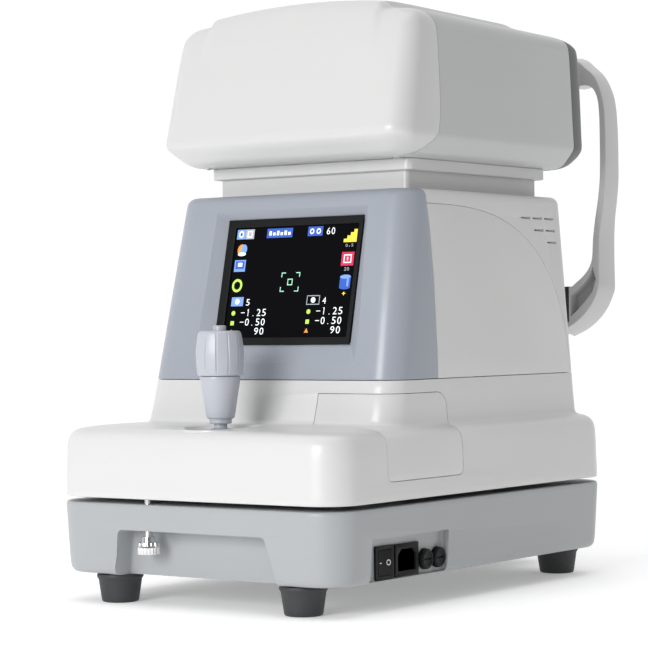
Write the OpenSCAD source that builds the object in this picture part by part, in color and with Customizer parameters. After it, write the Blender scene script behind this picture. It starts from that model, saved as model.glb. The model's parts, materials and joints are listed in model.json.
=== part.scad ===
// Automatic refractor: a measuring head on a lift, carried by a joystick stage that rolls on a
// base, with a chin and forehead rest fixed to the base.
// Millimetres. +Z is up, +X is the operator's right, +Y runs from the operator to the patient.
// The origin is on the table top, under the middle of the base.

/* [Base] */
// Width of the base and of the stage above it
base_w = 272; // [268:1:276]
// Length of the base, front to rear
base_l = 392; // [388:1:396]
// Height of the rubber feet, which is also the height of the base's underside
foot_h = 22; // [20:1:23]
// Height of the base's flat top
base_top = 77.3; // [76.3:0.1:77.5]
// Wall thickness of every moulded cover
wall = 3; // [2.5:0.1:3]

/* [Stage] */
// Height of the stage cover's lower edge, a small gap above the base
stage_z = 81; // [80.5:0.1:82]
// Height of the shelf in front of the tower
shelf_z = 135; // [134.5:0.1:136]
// Height of the seam between the stage cover and the tower's own covers
seam_z = 168.3; // [167:0.1:170]
// Height of the tower's top
tower_top = 314; // [313:0.5:315]
// Half width of the tower at the seam
tower_hw = 120; // [119:0.5:122]
// How far back the tower's front face leans over its whole height
tower_lean = 33; // [30:1:34]

/* [Joystick] */
// Distance of the joystick in front of the base's middle
stick_y = 156; // [154:1:157]
// Height of the joystick's tilting centre
stick_pivot_z = 90; // [89.8:0.1:90.2]
// Height of the top of the measuring button
stick_top = 211; // [210:0.5:213]

/* [Head] */
// Height of the head's underside at rest
head_z = 338.3; // [338:0.1:339]
// Height of the head's crown at rest
head_top = 466; // [464:0.5:468]
// Half width of the head at its widest line
head_hw = 120; // [118:0.5:121]
// Height of the measuring axis at rest
axis_z = 390; // [389:0.5:391]

/* [Face rest] */
// Front face of the arms
arm_y0 = 241; // [240:0.5:242]
// Rear face of the arms
arm_y1 = 262; // [260:0.5:264]
// Height of the chin cup's underside at rest
chin_z = 276; // [275:0.5:280]

/* [Mechanism] */
// Module of the travel gears
gear_module = 1; // [1:0.1:1]
// Teeth on each travel pinion
pinion_teeth = 24; // [24:1:24]
// Y of the cross axle with the stage centred
axle_y = 60; // [58:1:62]
// Radial clearance of a running fit
fit = 0.05; // [0.03:0.01:0.08]

/* [Hidden] */
base_hw = base_w / 2;
base_hl = base_l / 2;
corner_fn = 32;
pitch_r = gear_module * pinion_teeth / 2;
rack_teeth = 32;
// The rack's tooth tips stand one module above its pitch line
rack_pitch_z = base_top + 4.7;
axle_z = rack_pitch_z + pitch_r;
gear_x = 76;
gear_w = 8;
axle_r = 5;
axle_hl = 86;
frame_x = 69;
frame_z = axle_z + axle_r + 2;
rail_z = frame_z + 3;
plate_z = rail_z + 10;
tongue_z = 100;
tilt = atan(tower_lean / (tower_top - seam_z));
// Dust dome round the joystick's tilting centre
dome_r = 44;
dome_edge_r = 25.2;
// Front recess under the base's front edge
recess_top = 57.3;
recess_depth = 22;
// Power recess in the base's right side
power_y0 = -152;
power_y1 = -50;
power_z0 = foot_h + 1.6;
power_z1 = 55;
power_x = 128;
power_mid_z = 36.3;
switch_y = -128.6;
inlet_y = -99.9;
fuse_y = [-75.5, -58.5];
fuse_z = 34.5;
// Lock screw in the front recess
lock_x = -43.4;
lock_y = -190;
// Lift: two guide rods either side of the lead screw, all in the line of the axle
rod_x = 50;
rod_r = 6;
rod_top = 358;
frame_top = 286;
bench_z = 364.3;
screw_r = 5;
// Printer behind its cover, in the stage's right front corner
roll_y = -80;
roll_z = 106;
roll_r = 20;
platen_y = -88;
platen_z = 150;
printer_x0 = 48.5;
printer_x1 = 112;
cheek = 2.5;
door_x = 51;
door_y0 = -132;
door_y1 = -30;
door_z0 = 95;
door_z1 = 158.5;
// Face rest
beam_z0 = 199;
beam_z1 = 241;
beam_hw = 74;
post_y = 250;
post_r = 8;
wheel_z = 211;
band_hw = 84;
band_r = 260;
chin_mid_y = 262;

// Levels of the lofted bodies: [z, half width, front y, rear y, corner radius]
base_levels = [
    [foot_h, base_hw - 8, 8 - base_hl, base_hl - 8, 21],
    [foot_h + 2.5, base_hw - 4.5, 4.5 - base_hl, base_hl - 4.5, 24],
    [foot_h + 7, base_hw - 3, 3 - base_hl, base_hl - 3, 25],
    [base_top - 2, base_hw, -base_hl, base_hl, 28],
    [base_top, base_hw - 1.5, 1.5 - base_hl, base_hl - 1.5, 27]
];
stage_levels = [
    [stage_z, base_hw, 0.5 - base_hl, base_hl - 0.5, 28],
    [shelf_z - 15, base_hw - 1, 1.5 - base_hl, base_hl - 1.5, 27],
    [shelf_z - 7.5, base_hw - 3, 3.5 - base_hl, base_hl - 3.5, 25],
    [shelf_z - 3.5, base_hw - 7, 8 - base_hl, base_hl - 7.5, 21],
    [shelf_z - 1.5, base_hw - 14, 17 - base_hl, base_hl - 15, 18],
    [shelf_z, base_hw - 26, 42 - base_hl, base_hl - 24, 20]
];
function tower_level(z, cut = 0) =
    let (k = (z - seam_z) / (tower_top - seam_z))
    [z, tower_hw - 7 * k - cut, tower_lean * k - 99 + cut, 172 - 8 * k - cut, 21 - cut];
foot_of_tower = [tower_level(shelf_z - 6), tower_level(seam_z)];
tower_levels = [
    tower_level(seam_z), tower_level(tower_top - 8),
    tower_level(tower_top - 2.5, 2), tower_level(tower_top, 6.5)
];
head_levels = [
    [head_z, 103, -62, 184, 22],
    [head_z + 3, 109, -69, 190, 24],
    [head_z + 15, head_hw, -84, 201, 24],
    [head_z + 19, head_hw, -84, 201, 24],
    [head_z + 100, head_hw - 4, -63, 200, 18],
    [head_z + 108, head_hw - 7, -59, 197, 17],
    [head_z + 113, head_hw - 15, -54, 190, 16],
    [head_top, 72, -46, 120, 30]
];

// ---------- helpers ----------

// Box between two corners
module box(a, b) {
    translate(a) cube(b - a);
}

// Cylinder along +X, +Y or +Z from a point
module rod_x(p, r, l) {
    translate(p) rotate([0, 90, 0]) cylinder(r = r, h = l, $fn = 48);
}
module rod_y(p, r, l) {
    translate(p) rotate([-90, 0, 0]) cylinder(r = r, h = l, $fn = 48);
}
module rod_z(p, r, l) {
    translate(p) cylinder(r = r, h = l, $fn = 48);
}

// Flat outline with true round corners, centred
module rounded(w, l, r) {
    square([w - 2 * r, l], center = true);
    square([w, l - 2 * r], center = true);
    for (sx = [-1, 1], sy = [-1, 1])
        translate([sx * (w / 2 - r), sy * (l / 2 - r)]) circle(r = r, $fn = 40);
}

// Upright plate or tube body with true round corners
module rounded_block(hw, y0, y1, z0, z1, r) {
    translate([0, (y0 + y1) / 2, z0]) linear_extrude(z1 - z0) rounded(2 * hw, y1 - y0, r);
}

// Closed body through round-cornered levels
module loft(levels) {
    thin = 0.2;
    hull()
        for (i = [0:len(levels) - 1], sx = [-1, 1], y = [levels[i][2] + levels[i][4],
                                                         levels[i][3] - levels[i][4]])
            translate([sx * (levels[i][1] - levels[i][4]), y, levels[i][0] - (i == 0 ? 0 : thin)])
                cylinder(r = levels[i][4], h = thin, $fn = corner_fn);
}

// The same levels moved in by the wall, for the hollow inside; down and up move its two ends
function inner(levels, down, up) =
    let (mid = (levels[0][0] + levels[len(levels) - 1][0]) / 2)
    [for (l = levels) [l[0] + (l[0] < mid ? down : up), l[1] - wall, l[2] + wall, l[3] - wall,
                       max(l[4] - wall, 2)]];

// Straight-sided rack tooth outline; y along the rack, z up, pitch line at z = 0
module rack_profile(teeth, bottom) {
    m = gear_module;
    half = PI * m / 4 - 0.12;
    slope = tan(20);
    polygon(concat(
        [[0, bottom]],
        [for (i = [0:teeth - 1], q = [[-half - 1.25 * m * slope, -1.25 * m],
                                      [-half + m * slope, m], [half - m * slope, m],
                                      [half + 1.25 * m * slope, -1.25 * m]])
            [(i + 0.5) * PI * m + q[0], q[1]]],
        [[teeth * PI * m, bottom]]));
}

// Involute pinion outline with a tooth space at the bottom, over the rack's tooth
module pinion_profile(teeth) {
    m = gear_module;
    rb = pitch_r * cos(20);
    ro = pitch_r + m;
    rf = pitch_r - 1.25 * m;
    function inv(r) = let (a = acos(min(1, rb / r))) tan(a) * 180 / PI - a;
    function half_angle(r) = 90 / teeth - 0.55 + inv(pitch_r) - inv(max(r, rb));
    radii = [for (k = [0:4]) rb + (ro - rb) * k / 4];
    polygon([for (i = [0:teeth - 1], q = concat(
        [[rf, -half_angle(rb)]], [for (r = radii) [r, -half_angle(r)]],
        [for (k = [4:-1:0]) [radii[k], half_angle(radii[k])]], [[rf, half_angle(rb)]]))
        let (a = (i + 0.5) * 360 / teeth + q[1] - 90)
        [q[0] * cos(a), q[0] * sin(a)]]);
}

// Outline of a squarish oval, from its right end round
function oval(cx, cz, a, b, n, steps = 48) =
    [for (i = [0:steps - 1]) let (t = 360 * i / steps)
        [cx + a * sign(cos(t)) * pow(abs(cos(t)), 2 / n),
         cz + b * sign(sin(t)) * pow(abs(sin(t)), 2 / n)]];

// Local frame of the tower's leaning front face: x across, y up the face, z out of it
module on_face() {
    translate([0, -99, seam_z]) rotate([90 - tilt, 0, 0]) children();
}

module on_stick(z = 0) {
    translate([0, -stick_y, z]) children();
}

// ---------- base ----------

module front_recess(grow) {
    translate([0, recess_depth - base_hl + grow, 0]) rotate([90, 0, 0])
        linear_extrude(recess_depth + 10)
            polygon([[-83 - grow, foot_h - 4], [83 + grow, foot_h - 4],
                     [69.5 + grow, recess_top + grow], [-69.5 - grow, recess_top + grow]]);
}

module power_recess(grow) {
    box([power_x - grow, power_y0 - grow, power_z0 - (grow > 0 ? 1.6 : 0)],
        [base_hw + 8, power_y1 + grow, power_z1 + grow]);
}

module base_cover() {
    color("lightgray")
    difference() {
        union() {
            difference() {
                loft(base_levels);
                loft(inner(base_levels, -1, -wall));
            }
            intersection() {
                loft(base_levels);
                union() {
                    front_recess(wall);
                    power_recess(wall);
                }
            }
        }
        front_recess(0);
        power_recess(0);
        // lock screw, through the recess's roof and the base's top
        rod_z([lock_x, lock_y, recess_top - 1], 3 + fit, base_top - recess_top + 2);
        // seats of the switch, inlet and fuse holders
        box([power_x - 5, switch_y - 10.6, power_mid_z - 10.9],
            [power_x + 1, switch_y + 10.6, power_mid_z + 10.9]);
        box([power_x - 5, inlet_y - 13.5, power_mid_z - 10.2],
            [power_x + 1, inlet_y + 13.5, power_mid_z + 10.2]);
        for (y = fuse_y) rod_x([power_x - 5, y, fuse_z], 6.1, 7);
        // slot for the base plate's tongue
        box([-46, base_hl - 16, foot_h - 1], [46, base_hl + 1, foot_h + 2.3]);
    }
}

module base_plate() {
    color("dimgray")
    difference() {
        union() {
            rounded_block(base_hw - 12, 12 - base_hl, base_hl - 12, foot_h, foot_h + 2, 16);
            rounded_block(45, base_hl - 60, 252, foot_h, foot_h + 2, 6);
        }
        box([-87, -base_hl, foot_h - 1], [87, recess_depth - base_hl + wall + 1, foot_h + 3]);
        box([power_x - wall - 1, power_y0 - wall - 1, foot_h - 1],
            [base_hw, power_y1 + wall + 1, foot_h + 3]);
    }
}

module feet() {
    color("black")
    for (p = [[-87.6, -172], [87.6, -172], [-98, 172], [98, 172]])
        translate([p[0], p[1], 0]) difference() {
            union() {
                cylinder(r1 = 14, r2 = 15, h = 1.5, $fn = 64);
                translate([0, 0, 1.5]) cylinder(r1 = 15, r2 = 17.6, h = foot_h - 1.5, $fn = 64);
            }
            translate([0, 0, -1]) cylinder(r = 5, h = 9, $fn = 48);
        }
}

module switch_housing() {
    color("black")
    difference() {
        union() {
            box([power_x, switch_y - 11.8, power_mid_z - 12.4],
                [power_x + 1.6, switch_y + 11.8, power_mid_z + 12.4]);
            box([power_x - 18, switch_y - 10.3, power_mid_z - 10.6],
                [power_x, switch_y + 10.3, power_mid_z + 10.6]);
        }
        box([power_x - 12, switch_y - 8.8, power_mid_z - 9.6],
            [power_x + 2, switch_y + 8.8, power_mid_z + 9.6]);
        rod_z([power_x - 4, switch_y, power_mid_z - 11.6], 1.5 + fit, 23.2);
    }
}

// Rocker: rocks left and right about an upright pin, tipped to its off side at rest
module power_rocker() {
    color("black")
    translate([power_x - 4, switch_y, power_mid_z]) rotate([0, 0, -6]) {
        translate([0, 0, -9.3]) linear_extrude(18.6)
            polygon([[-2.5, -3], [-2.5, 3], [4.6, 7.7], [6.6, 7.9], [5, 0],
                     [6.6, -7.9], [4.6, -7.7]]);
        translate([0, 0, -10.4]) cylinder(r = 1.5, h = 20.8, $fn = 48);
    }
}

module inlet_socket() {
    color("black")
    difference() {
        union() {
            box([power_x, inlet_y - 15.5, power_mid_z - 12],
                [power_x + 1.8, inlet_y + 15.5, power_mid_z + 12]);
            box([power_x - 20, inlet_y - 13.2, power_mid_z - 9.9],
                [power_x, inlet_y + 13.2, power_mid_z + 9.9]);
        }
        // the keyed hollow that a mains connector enters, its upper corners cut off
        translate([power_x - 16, inlet_y, power_mid_z]) rotate([90, 0, 90]) linear_extrude(20)
            polygon([[-12.1, -8.1], [12.1, -8.1], [12.1, 3.6], [7.6, 8.1], [-7.6, 8.1],
                     [-12.1, 3.6]]);
        for (q = [[-7, -2], [7, -2], [0, 2]])
            box([power_x - 21, inlet_y + q[0] - 1.05, power_mid_z + q[1] - 2.05],
                [power_x - 15, inlet_y + q[0] + 1.05, power_mid_z + q[1] + 2.05]);
    }
}

module inlet_pins() {
    color("silver")
    for (q = [[-7, -2], [7, -2], [0, 2]])
        box([power_x - 26, inlet_y + q[0] - 1, power_mid_z + q[1] - 2],
            [power_x - 3, inlet_y + q[0] + 1, power_mid_z + q[1] + 2]);
}

module fuse_holders() {
    color("black")
    for (y = fuse_y) difference() {
        union() {
            rod_x([power_x, y, fuse_z], 7.9, 1.2);
            rod_x([power_x - 28, y, fuse_z], 5.9, 28);
        }
        rod_x([power_x - 25, y, fuse_z], 4.2 + fit, 30);
    }
}

// Screwdriver-slotted cap with the plug that carries the fuse
module fuse_cap(y) {
    color("black")
    difference() {
        union() {
            rod_x([power_x + 1.5, y, fuse_z], 7.7, 3);
            rod_x([power_x - 20, y, fuse_z], 4.2, 21.6);
        }
        box([power_x + 3.4, y - 5, fuse_z - 0.7], [power_x + 5, y + 5, fuse_z + 0.7]);
    }
}

module fuse_cap_front() {
    fuse_cap(fuse_y[0]);
}

module fuse_cap_rear() {
    fuse_cap(fuse_y[1]);
}

module power_supply() {
    color("darkgreen")
    union() {
        box([20, 20, foot_h + 8], [110, 150, foot_h + 9.6]);
        for (x = [26, 104], y = [26, 144]) rod_z([x, y, foot_h + 2], 3, 6);
        box([30, 40, foot_h + 9.6], [64, 84, foot_h + 36]);
        for (y = [100, 124]) rod_z([50, y, foot_h + 9.6], 9, 24);
        box([78, 36, foot_h + 9.6], [84, 140, foot_h + 34]);
    }
}

module travel_racks() {
    color("silver")
    for (sx = [-1, 1])
        translate([sx > 0 ? gear_x : -gear_x - gear_w,
                   axle_y - (rack_teeth + 1) * PI * gear_module / 2, rack_pitch_z])
            rotate([90, 0, 90]) linear_extrude(gear_w)
                rack_profile(rack_teeth, base_top - rack_pitch_z);
}

module lock_screw() {
    color("gainsboro")
    translate([lock_x, lock_y, 0]) {
        translate([0, 0, 39.8]) difference() {
            cylinder(r = 8.7, h = 8.8, $fn = 64);
            for (i = [0:17]) rotate([0, 0, 20 * i]) translate([9, 0, -1])
                cylinder(r = 0.7, h = 11, $fn = 16);
        }
        translate([0, 0, 48.6]) cylinder(r = 5.3, h = 4.2, $fn = 48);
        translate([0, 0, 52.8]) cylinder(r = 3, h = 24.7, $fn = 48);
        translate([0, 0, 77.5]) cylinder(r = 1.75, h = 0.7, $fn = 48);
    }
}

// Steel pad on the screw's tip: it doesn't turn with the screw
module clamp_pad() {
    color("silver")
    difference() {
        rod_z([lock_x, lock_y, 77.6], 2.9, 2.9);
        rod_z([lock_x, lock_y, 77], 1.8, 1.3);
    }
}

// ---------- face rest ----------

module rest_column() {
    color("whitesmoke")
    difference() {
        rounded_block(40, 219, 239, foot_h + 2, beam_z0, 6);
        rounded_block(37, 222, 236, foot_h + 6, beam_z0 - 4, 3);
        box([-14, 230, foot_h + 12], [14, 241, 100]);
    }
}

module chin_beam() {
    color("dimgray")
    difference() {
        union() {
            box([-beam_hw, arm_y0, beam_z0], [beam_hw, arm_y1, beam_z1]);
            box([-42, 219, beam_z0], [42, arm_y0, beam_z0 + 24]);
        }
        rod_z([0, post_y, beam_z0 - 1], post_r + fit, beam_z1 - beam_z0 + 2);
        // slot that holds the lifting nut in place
        box([-17, 233, wheel_z], [17, arm_y1 + 1, wheel_z + 12]);
    }
}

module arm_outline() {
    difference() {
        polygon(oval(60, 322, 51.5, 120, 3.1));
        polygon(oval(60, 329, 44.5, 88, 4));
        translate([0, 190]) square([beam_hw, 120]);
        translate([-10, 310]) square([band_hw + 10, 150]);
    }
}

module rest_arms() {
    color("white")
    for (side = [0, 1]) mirror([side, 0, 0])
        difference() {
            translate([0, arm_y1, 0]) rotate([90, 0, 0]) linear_extrude(arm_y1 - arm_y0)
                arm_outline();
            // pocket in the flared lower end
            translate([0, arm_y1 - 5, 0]) rotate([90, 0, 0]) linear_extrude(30)
                intersection() {
                    difference() {
                        polygon(oval(60, 322, 46.5, 115, 3.1));
                        polygon(oval(60, 329, 48.5, 92, 4));
                    }
                    translate([beam_hw + 4, 200]) square([60, 62]);
                }
        }
}

module forehead_arc(r0, r1, hw, z0, z1) {
    intersection() {
        translate([0, arm_y0 + 2 + band_r, z0]) difference() {
            cylinder(r = r1, h = z1 - z0, $fn = 180);
            translate([0, 0, -1]) cylinder(r = r0, h = z1 - z0 + 2, $fn = 180);
        }
        box([-hw, arm_y0 - 10, z0 - 1], [hw, arm_y1 + 20, z1 + 1]);
    }
}

module forehead_band() {
    color("dimgray") forehead_arc(band_r - 6, band_r, band_hw, 412, 440);
}

module forehead_pad() {
    color("lightgray") forehead_arc(band_r - 14, band_r - 6, 52, 414, 438);
}

module chin_cup() {
    color("white")
    union() {
        difference() {
            rounded_block(36, chin_mid_y - 25, chin_mid_y + 25, chin_z, chin_z + 13, 14);
            rod_y([0, chin_mid_y - 21, chin_z + 39], 35, 60);
        }
        // pins that hold the pad of papers
        for (x = [-30, 30]) rod_z([x, chin_mid_y - 17, chin_z + 8], 1.5, 25);
    }
}

module chin_post() {
    color("silver") rod_z([0, post_y, 150], post_r, chin_z - 150);
}

// Knurled nut that lifts the chin cup's post
module chin_wheel() {
    color("black")
    translate([0, post_y, wheel_z + 0.3]) difference() {
        cylinder(r = 14.5, h = 11.4, $fn = 64);
        translate([0, 0, -1]) cylinder(r = post_r + fit, h = 14, $fn = 48);
        for (i = [0:23]) rotate([0, 0, 15 * i]) translate([14.9, 0, -1])
            cylinder(r = 0.8, h = 14, $fn = 16);
    }
}

// ---------- carriage ----------

module carriage_frame() {
    color("slategray")
    difference() {
        union() {
            box([-frame_x, axle_y - 46, frame_z], [frame_x, axle_y + 46, frame_z + 3]);
            for (x = [-frame_x, frame_x - 3])
                box([x, axle_y - 10, axle_z - 9], [x + 3, axle_y + 10, frame_z]);
            for (x = [-58, 58], y = [-38, 38])
                rod_z([x, axle_y + y, base_top + 0.3], 6, frame_z - base_top - 0.3);
        }
        rod_x([-frame_x - 1, axle_y, axle_z], axle_r + fit, 2 * frame_x + 2);
    }
}

module rail_profile() {
    polygon([[-4.5, 0], [4.5, 0], [4.5, 2], [3.5, 3], [3.5, 4], [4.5, 5], [4.5, 6.5],
             [-4.5, 6.5], [-4.5, 5], [-3.5, 4], [-3.5, 3], [-4.5, 2]]);
}

module x_rails() {
    color("silver")
    for (y = [-32, 32]) translate([-frame_x, axle_y + y, rail_z]) rotate([90, 0, 90])
        linear_extrude(2 * frame_x) rail_profile();
}

module cross_axle() {
    color("silver") rod_x([-axle_hl, axle_y, axle_z], axle_r, 2 * axle_hl);
}

module axle_pinions() {
    color("goldenrod")
    for (x = [-gear_x - gear_w, gear_x]) translate([x, axle_y, axle_z])
        rotate([90, 0, 90]) linear_extrude(gear_w) difference() {
            pinion_profile(pinion_teeth);
            circle(r = axle_r + 0.01, $fn = 48);
        }
}

// ---------- stage ----------

module door_zone(gap) {
    r = 6;
    translate([door_x + gap, 0, 0]) rotate([90, 0, 90]) linear_extrude(base_hw)
        translate([(door_y0 + door_y1) / 2, (door_z0 + door_z1) / 2])
            rounded(door_y1 - door_y0 - 2 * gap, door_z1 - door_z0 - 2 * gap, r);
}

module stage_shell() {
    difference() {
        union() {
            loft(stage_levels);
            loft(foot_of_tower);
        }
        difference() {
            union() {
                loft(inner(stage_levels, -1, -wall));
                loft(inner(foot_of_tower, -20, 1));
            }
            // thick ring under the joystick's dish, and the ledge that the lock's pad presses
            on_stick(shelf_z - 8.5) cylinder(r = 32, h = 10, $fn = 96);
            box([lock_x - 20, -base_hl, stage_z - 2], [lock_x + 20, lock_y + 7, stage_z + 3]);
        }
        on_stick(shelf_z - 3.5) cylinder(r = 28.5, h = 12, $fn = 96);
        intersection() {
            on_stick(stick_pivot_z) sphere(r = dome_r + 0.5, $fn = 128);
            on_stick(shelf_z - 20) cylinder(r = 30, h = 40, $fn = 96);
        }
    }
}

module stage_cover() {
    color("white")
    difference() {
        stage_shell();
        door_zone(0);
    }
}

module printer_cover() {
    color("white")
    intersection() {
        stage_shell();
        door_zone(0.4);
    }
}

module stage_plate() {
    color("slategray")
    difference() {
        union() {
            box([-118, -20, plate_z], [118, 178, plate_z + 3]);
            box([-34, -23, tongue_z], [34, -20, plate_z + 3]);
            box([-34, -stick_y - 26, tongue_z], [34, -23, tongue_z + 3]);
            for (x = [-23, 20])
                box([x, -stick_y - 7, stick_pivot_z - 6], [x + 3, 7 - stick_y, tongue_z]);
        }
        on_stick(tongue_z - 1) cylinder(r = 13, h = 5, $fn = 48);
        rod_x([-24, -stick_y, stick_pivot_z], 1.5 + fit, 48);
    }
}

module rail_blocks() {
    color("gray")
    for (y = [-32, 32]) translate([-22, axle_y + y, rail_z]) rotate([90, 0, 90])
        linear_extrude(44) difference() {
            translate([-10, 1.2]) square([20, plate_z - rail_z - 1.2]);
            offset(delta = 0.2) rail_profile();
        }
}

module tower_frame() {
    color("gray")
    difference() {
        union() {
            box([-80, 6, plate_z + 3], [80, 130, plate_z + 5.5]);
            for (x = [-69, 66.5]) box([x, 30, plate_z + 5.5], [x + 2.5, 90, frame_top]);
            box([-69, 30, 200], [69, 90, 203]);
            box([-69, 20, frame_top], [69, 100, frame_top + 4]);
        }
        for (x = [-rod_x, rod_x]) rod_z([x, axle_y, 199], rod_r + fit, 110);
        rod_z([0, axle_y, frame_top - 1], screw_r + fit, 6);
        box([-40, 40, 199], [40, 80, 204]);
    }
}

// Region of the rear cover: everything above and behind a sweeping seam on the tower's side
module rear_zone() {
    seam = [for (i = [0:20]) let (t = 90 * i / 20)
        [-32 + 216 * pow(sin(t), 2 / 2.2), seam_z - 29 + 163 * pow(cos(t), 2 / 2.2)]];
    translate([-150, 0, 0]) rotate([90, 0, 90]) linear_extrude(300)
        polygon(concat([[-32, 340]], seam, [[230, seam_z - 29], [230, 340]]));
}

module tower_shell() {
    difference() {
        loft(tower_levels);
        loft(inner(tower_levels, -1, -wall));
        rounded_block(92.4, -37.4, 156.4, tower_top - 8, tower_top + 2, 12);
    }
}

module side_cover() {
    color("white")
    difference() {
        tower_shell();
        rear_zone();
        box([-150, -150, seam_z - 10], [150, -31.7, tower_top + 10]);
    }
}

module vents() {
    for (row = [0:2], i = [row:2], x = [-125, 100])
        translate([x, 100 + 18.5 * i + 1.5 * row, 296 - 9.7 * row]) cube([25, 14, 3.2]);
}

module rear_cover() {
    color("white")
    difference() {
        intersection() {
            tower_shell();
            translate([0, 0.4, 0.4]) rear_zone();
        }
        box([-150, -150, seam_z - 10], [150, -31.7, tower_top + 10]);
        vents();
        for (i = [0:8]) box([-60, 140, 230 + 8 * i], [60, 190, 233 + 8 * i]);
    }
}

module screen_pocket() {
    hull() {
        translate([0, 0, -0.01]) linear_extrude(4)
            polygon([[-80, 7.2], [80, 7.2], [73.4, 135.8], [-73.4, 135.8]]);
        translate([-64.5, 27.7, -8]) cube([129, 101, 0.1]);
    }
}

module front_bezel() {
    color("lightsteelblue")
    difference() {
        intersection() {
            union() {
                tower_shell();
                on_face() translate([-86, 2, -11]) cube([172, 139, 11]);
            }
            loft(tower_levels);
            box([-150, -150, seam_z], [150, -32, tower_top + 10]);
        }
        on_face() screen_pocket();
        on_face() translate([-60, 32, -12]) cube([120, 92, 6]);
    }
}

module lcd_frame() {
    color("black")
    on_face() difference() {
        translate([-64.3, 27.9, -7.8]) cube([128.6, 100.6, 1.2]);
        translate([-58.3, 35, -9]) cube([116.6, 87.4, 3]);
    }
}

module lcd_panel() {
    color("darkslategray")
    on_face() {
        translate([-59.5, 33, -11]) cube([119, 90.5, 3]);
    }
}

module main_board() {
    color("darkgreen")
    union() {
        box([-62, 136, plate_z + 12], [62, 137.6, 272]);
        for (x = [-40, 0, 30]) box([x, 133, 160], [x + 18, 136, 178]);
        for (z = [200, 240]) box([-50, 128, z], [-20, 136, z + 20]);
        box([-62, 130, plate_z + 3], [62, 137.6, plate_z + 12]);
    }
}

module neck_cover() {
    color("white")
    difference() {
        rounded_block(92, -37, 156, frame_top + 4, 350, 12);
        rounded_block(89.5, -34.5, 153.5, frame_top + 6.5, 351, 9.5);
        for (x = [-rod_x, 0, rod_x]) rod_z([x, axle_y, frame_top], rod_r + 1, 10);
    }
}

module guide_rods() {
    color("silver")
    for (x = [-rod_x, rod_x]) rod_z([x, axle_y, 200], rod_r, rod_top - 200);
}

module lift_motor() {
    color("dimgray")
    difference() {
        box([-21, axle_y - 21, frame_top - 46], [21, axle_y + 21, frame_top]);
        rod_z([0, axle_y, frame_top - 14], screw_r + 0.5, 15);
    }
}

module lead_screw() {
    color("silver") rod_z([0, axle_y, frame_top - 13], screw_r, rod_top - frame_top + 13);
}

// ---------- printer ----------

module printer_frame() {
    color("gray")
    difference() {
        union() {
            for (x = [printer_x0, printer_x1 - cheek])
                box([x, -93, 100], [x + cheek, -34, 156]);
            box([printer_x0, -36, 100], [printer_x1, -33, 156]);
            box([printer_x0, -36, plate_z - 3], [printer_x1, -10, plate_z]);
            rod_x([printer_x0 + 1, roll_y, roll_z], 6, printer_x1 - printer_x0 - 2);
        }
        for (x = [printer_x0, printer_x1 - cheek])
            rod_x([x - 1, platen_y, platen_z], 2 + fit, cheek + 2);
    }
}

module platen_roller() {
    color("black")
    union() {
        rod_x([printer_x0 + cheek + 0.8, platen_y, platen_z], 5,
              printer_x1 - printer_x0 - 2 * cheek - 1.6);
        rod_x([printer_x0 - 0.8, platen_y, platen_z], 2, printer_x1 - printer_x0 + 1.6);
    }
}

module paper_roll() {
    color("white")
    difference() {
        rod_x([printer_x0 + cheek + 0.6, roll_y, roll_z], roll_r,
              printer_x1 - printer_x0 - 2 * cheek - 1.2);
        rod_x([printer_x0, roll_y, roll_z], 6 + fit, 70);
    }
}

// ---------- joystick ----------

module gimbal_ring() {
    color("goldenrod")
    on_stick(stick_pivot_z) difference() {
        union() {
            translate([0, 0, -4]) cylinder(r = 13, h = 8, $fn = 64);
            rod_x([-22.6, 0, 0], 1.5, 45.2);
        }
        translate([0, 0, -5]) cylinder(r = 9.5, h = 10, $fn = 64);
        rod_y([0, -14, 0], 1.5 + fit, 28);
    }
}

module joystick_lever() {
    color("silver")
    on_stick() difference() {
        union() {
            translate([0, 0, base_top + 5.4]) sphere(r = 5, $fn = 48);
            translate([0, 0, base_top + 5.4]) cylinder(r = 4, h = 201 - base_top - 5.4, $fn = 48);
            translate([0, 0, stick_pivot_z - 4]) cylinder(r = 7, h = 8, $fn = 48);
            rod_y([0, -12.6, stick_pivot_z], 1.5, 25.2);
        }
        translate([0, 0, 190]) cylinder(r = 2 + fit, h = 20, $fn = 48);
    }
}

module joystick_cone() {
    color("lavender")
    on_stick() difference() {
        union() {
            intersection() {
                translate([0, 0, stick_pivot_z]) difference() {
                    sphere(r = dome_r, $fn = 128);
                    sphere(r = dome_r - 2, $fn = 128);
                }
                translate([0, 0, stick_pivot_z + 20]) cylinder(r = dome_edge_r, h = 40, $fn = 96);
            }
            translate([0, 0, 132.5]) cylinder(r = 5, h = 5, $fn = 48);
            translate([0, 0, 137]) cylinder(r = 8.5, h = 4, $fn = 64);
            translate([0, 0, 141]) cylinder(r1 = 10.5, r2 = 15.5, h = 31.5, $fn = 96);
        }
        translate([0, 0, 130]) cylinder(r = 4 + fit, h = 50, $fn = 48);
    }
}

module grip_ring() {
    color("lavender")
    on_stick() difference() {
        union() {
            translate([0, 0, 173]) cylinder(r1 = 16.3, r2 = 18.3, h = 17, $fn = 96);
            translate([0, 0, 190]) cylinder(r1 = 18.3, r2 = 16, h = stick_top - 194, $fn = 96);
        }
        translate([0, 0, 172]) cylinder(r = 4 + fit, h = 40, $fn = 48);
        translate([0, 0, 202]) cylinder(r = 5.3, h = 12, $fn = 48);
        for (i = [0:11]) rotate([0, 0, 30 * i]) translate([19.2, 0, 170])
            cylinder(r = 1.6, h = 50, $fn = 24);
    }
}

module measure_button() {
    color("lavender")
    on_stick() union() {
        translate([0, 0, stick_top - 4.5]) cylinder(r = 5, h = 4.5, $fn = 48);
        translate([0, 0, 193]) cylinder(r = 2, h = stick_top - 197, $fn = 48);
    }
}

// ---------- head ----------

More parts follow.
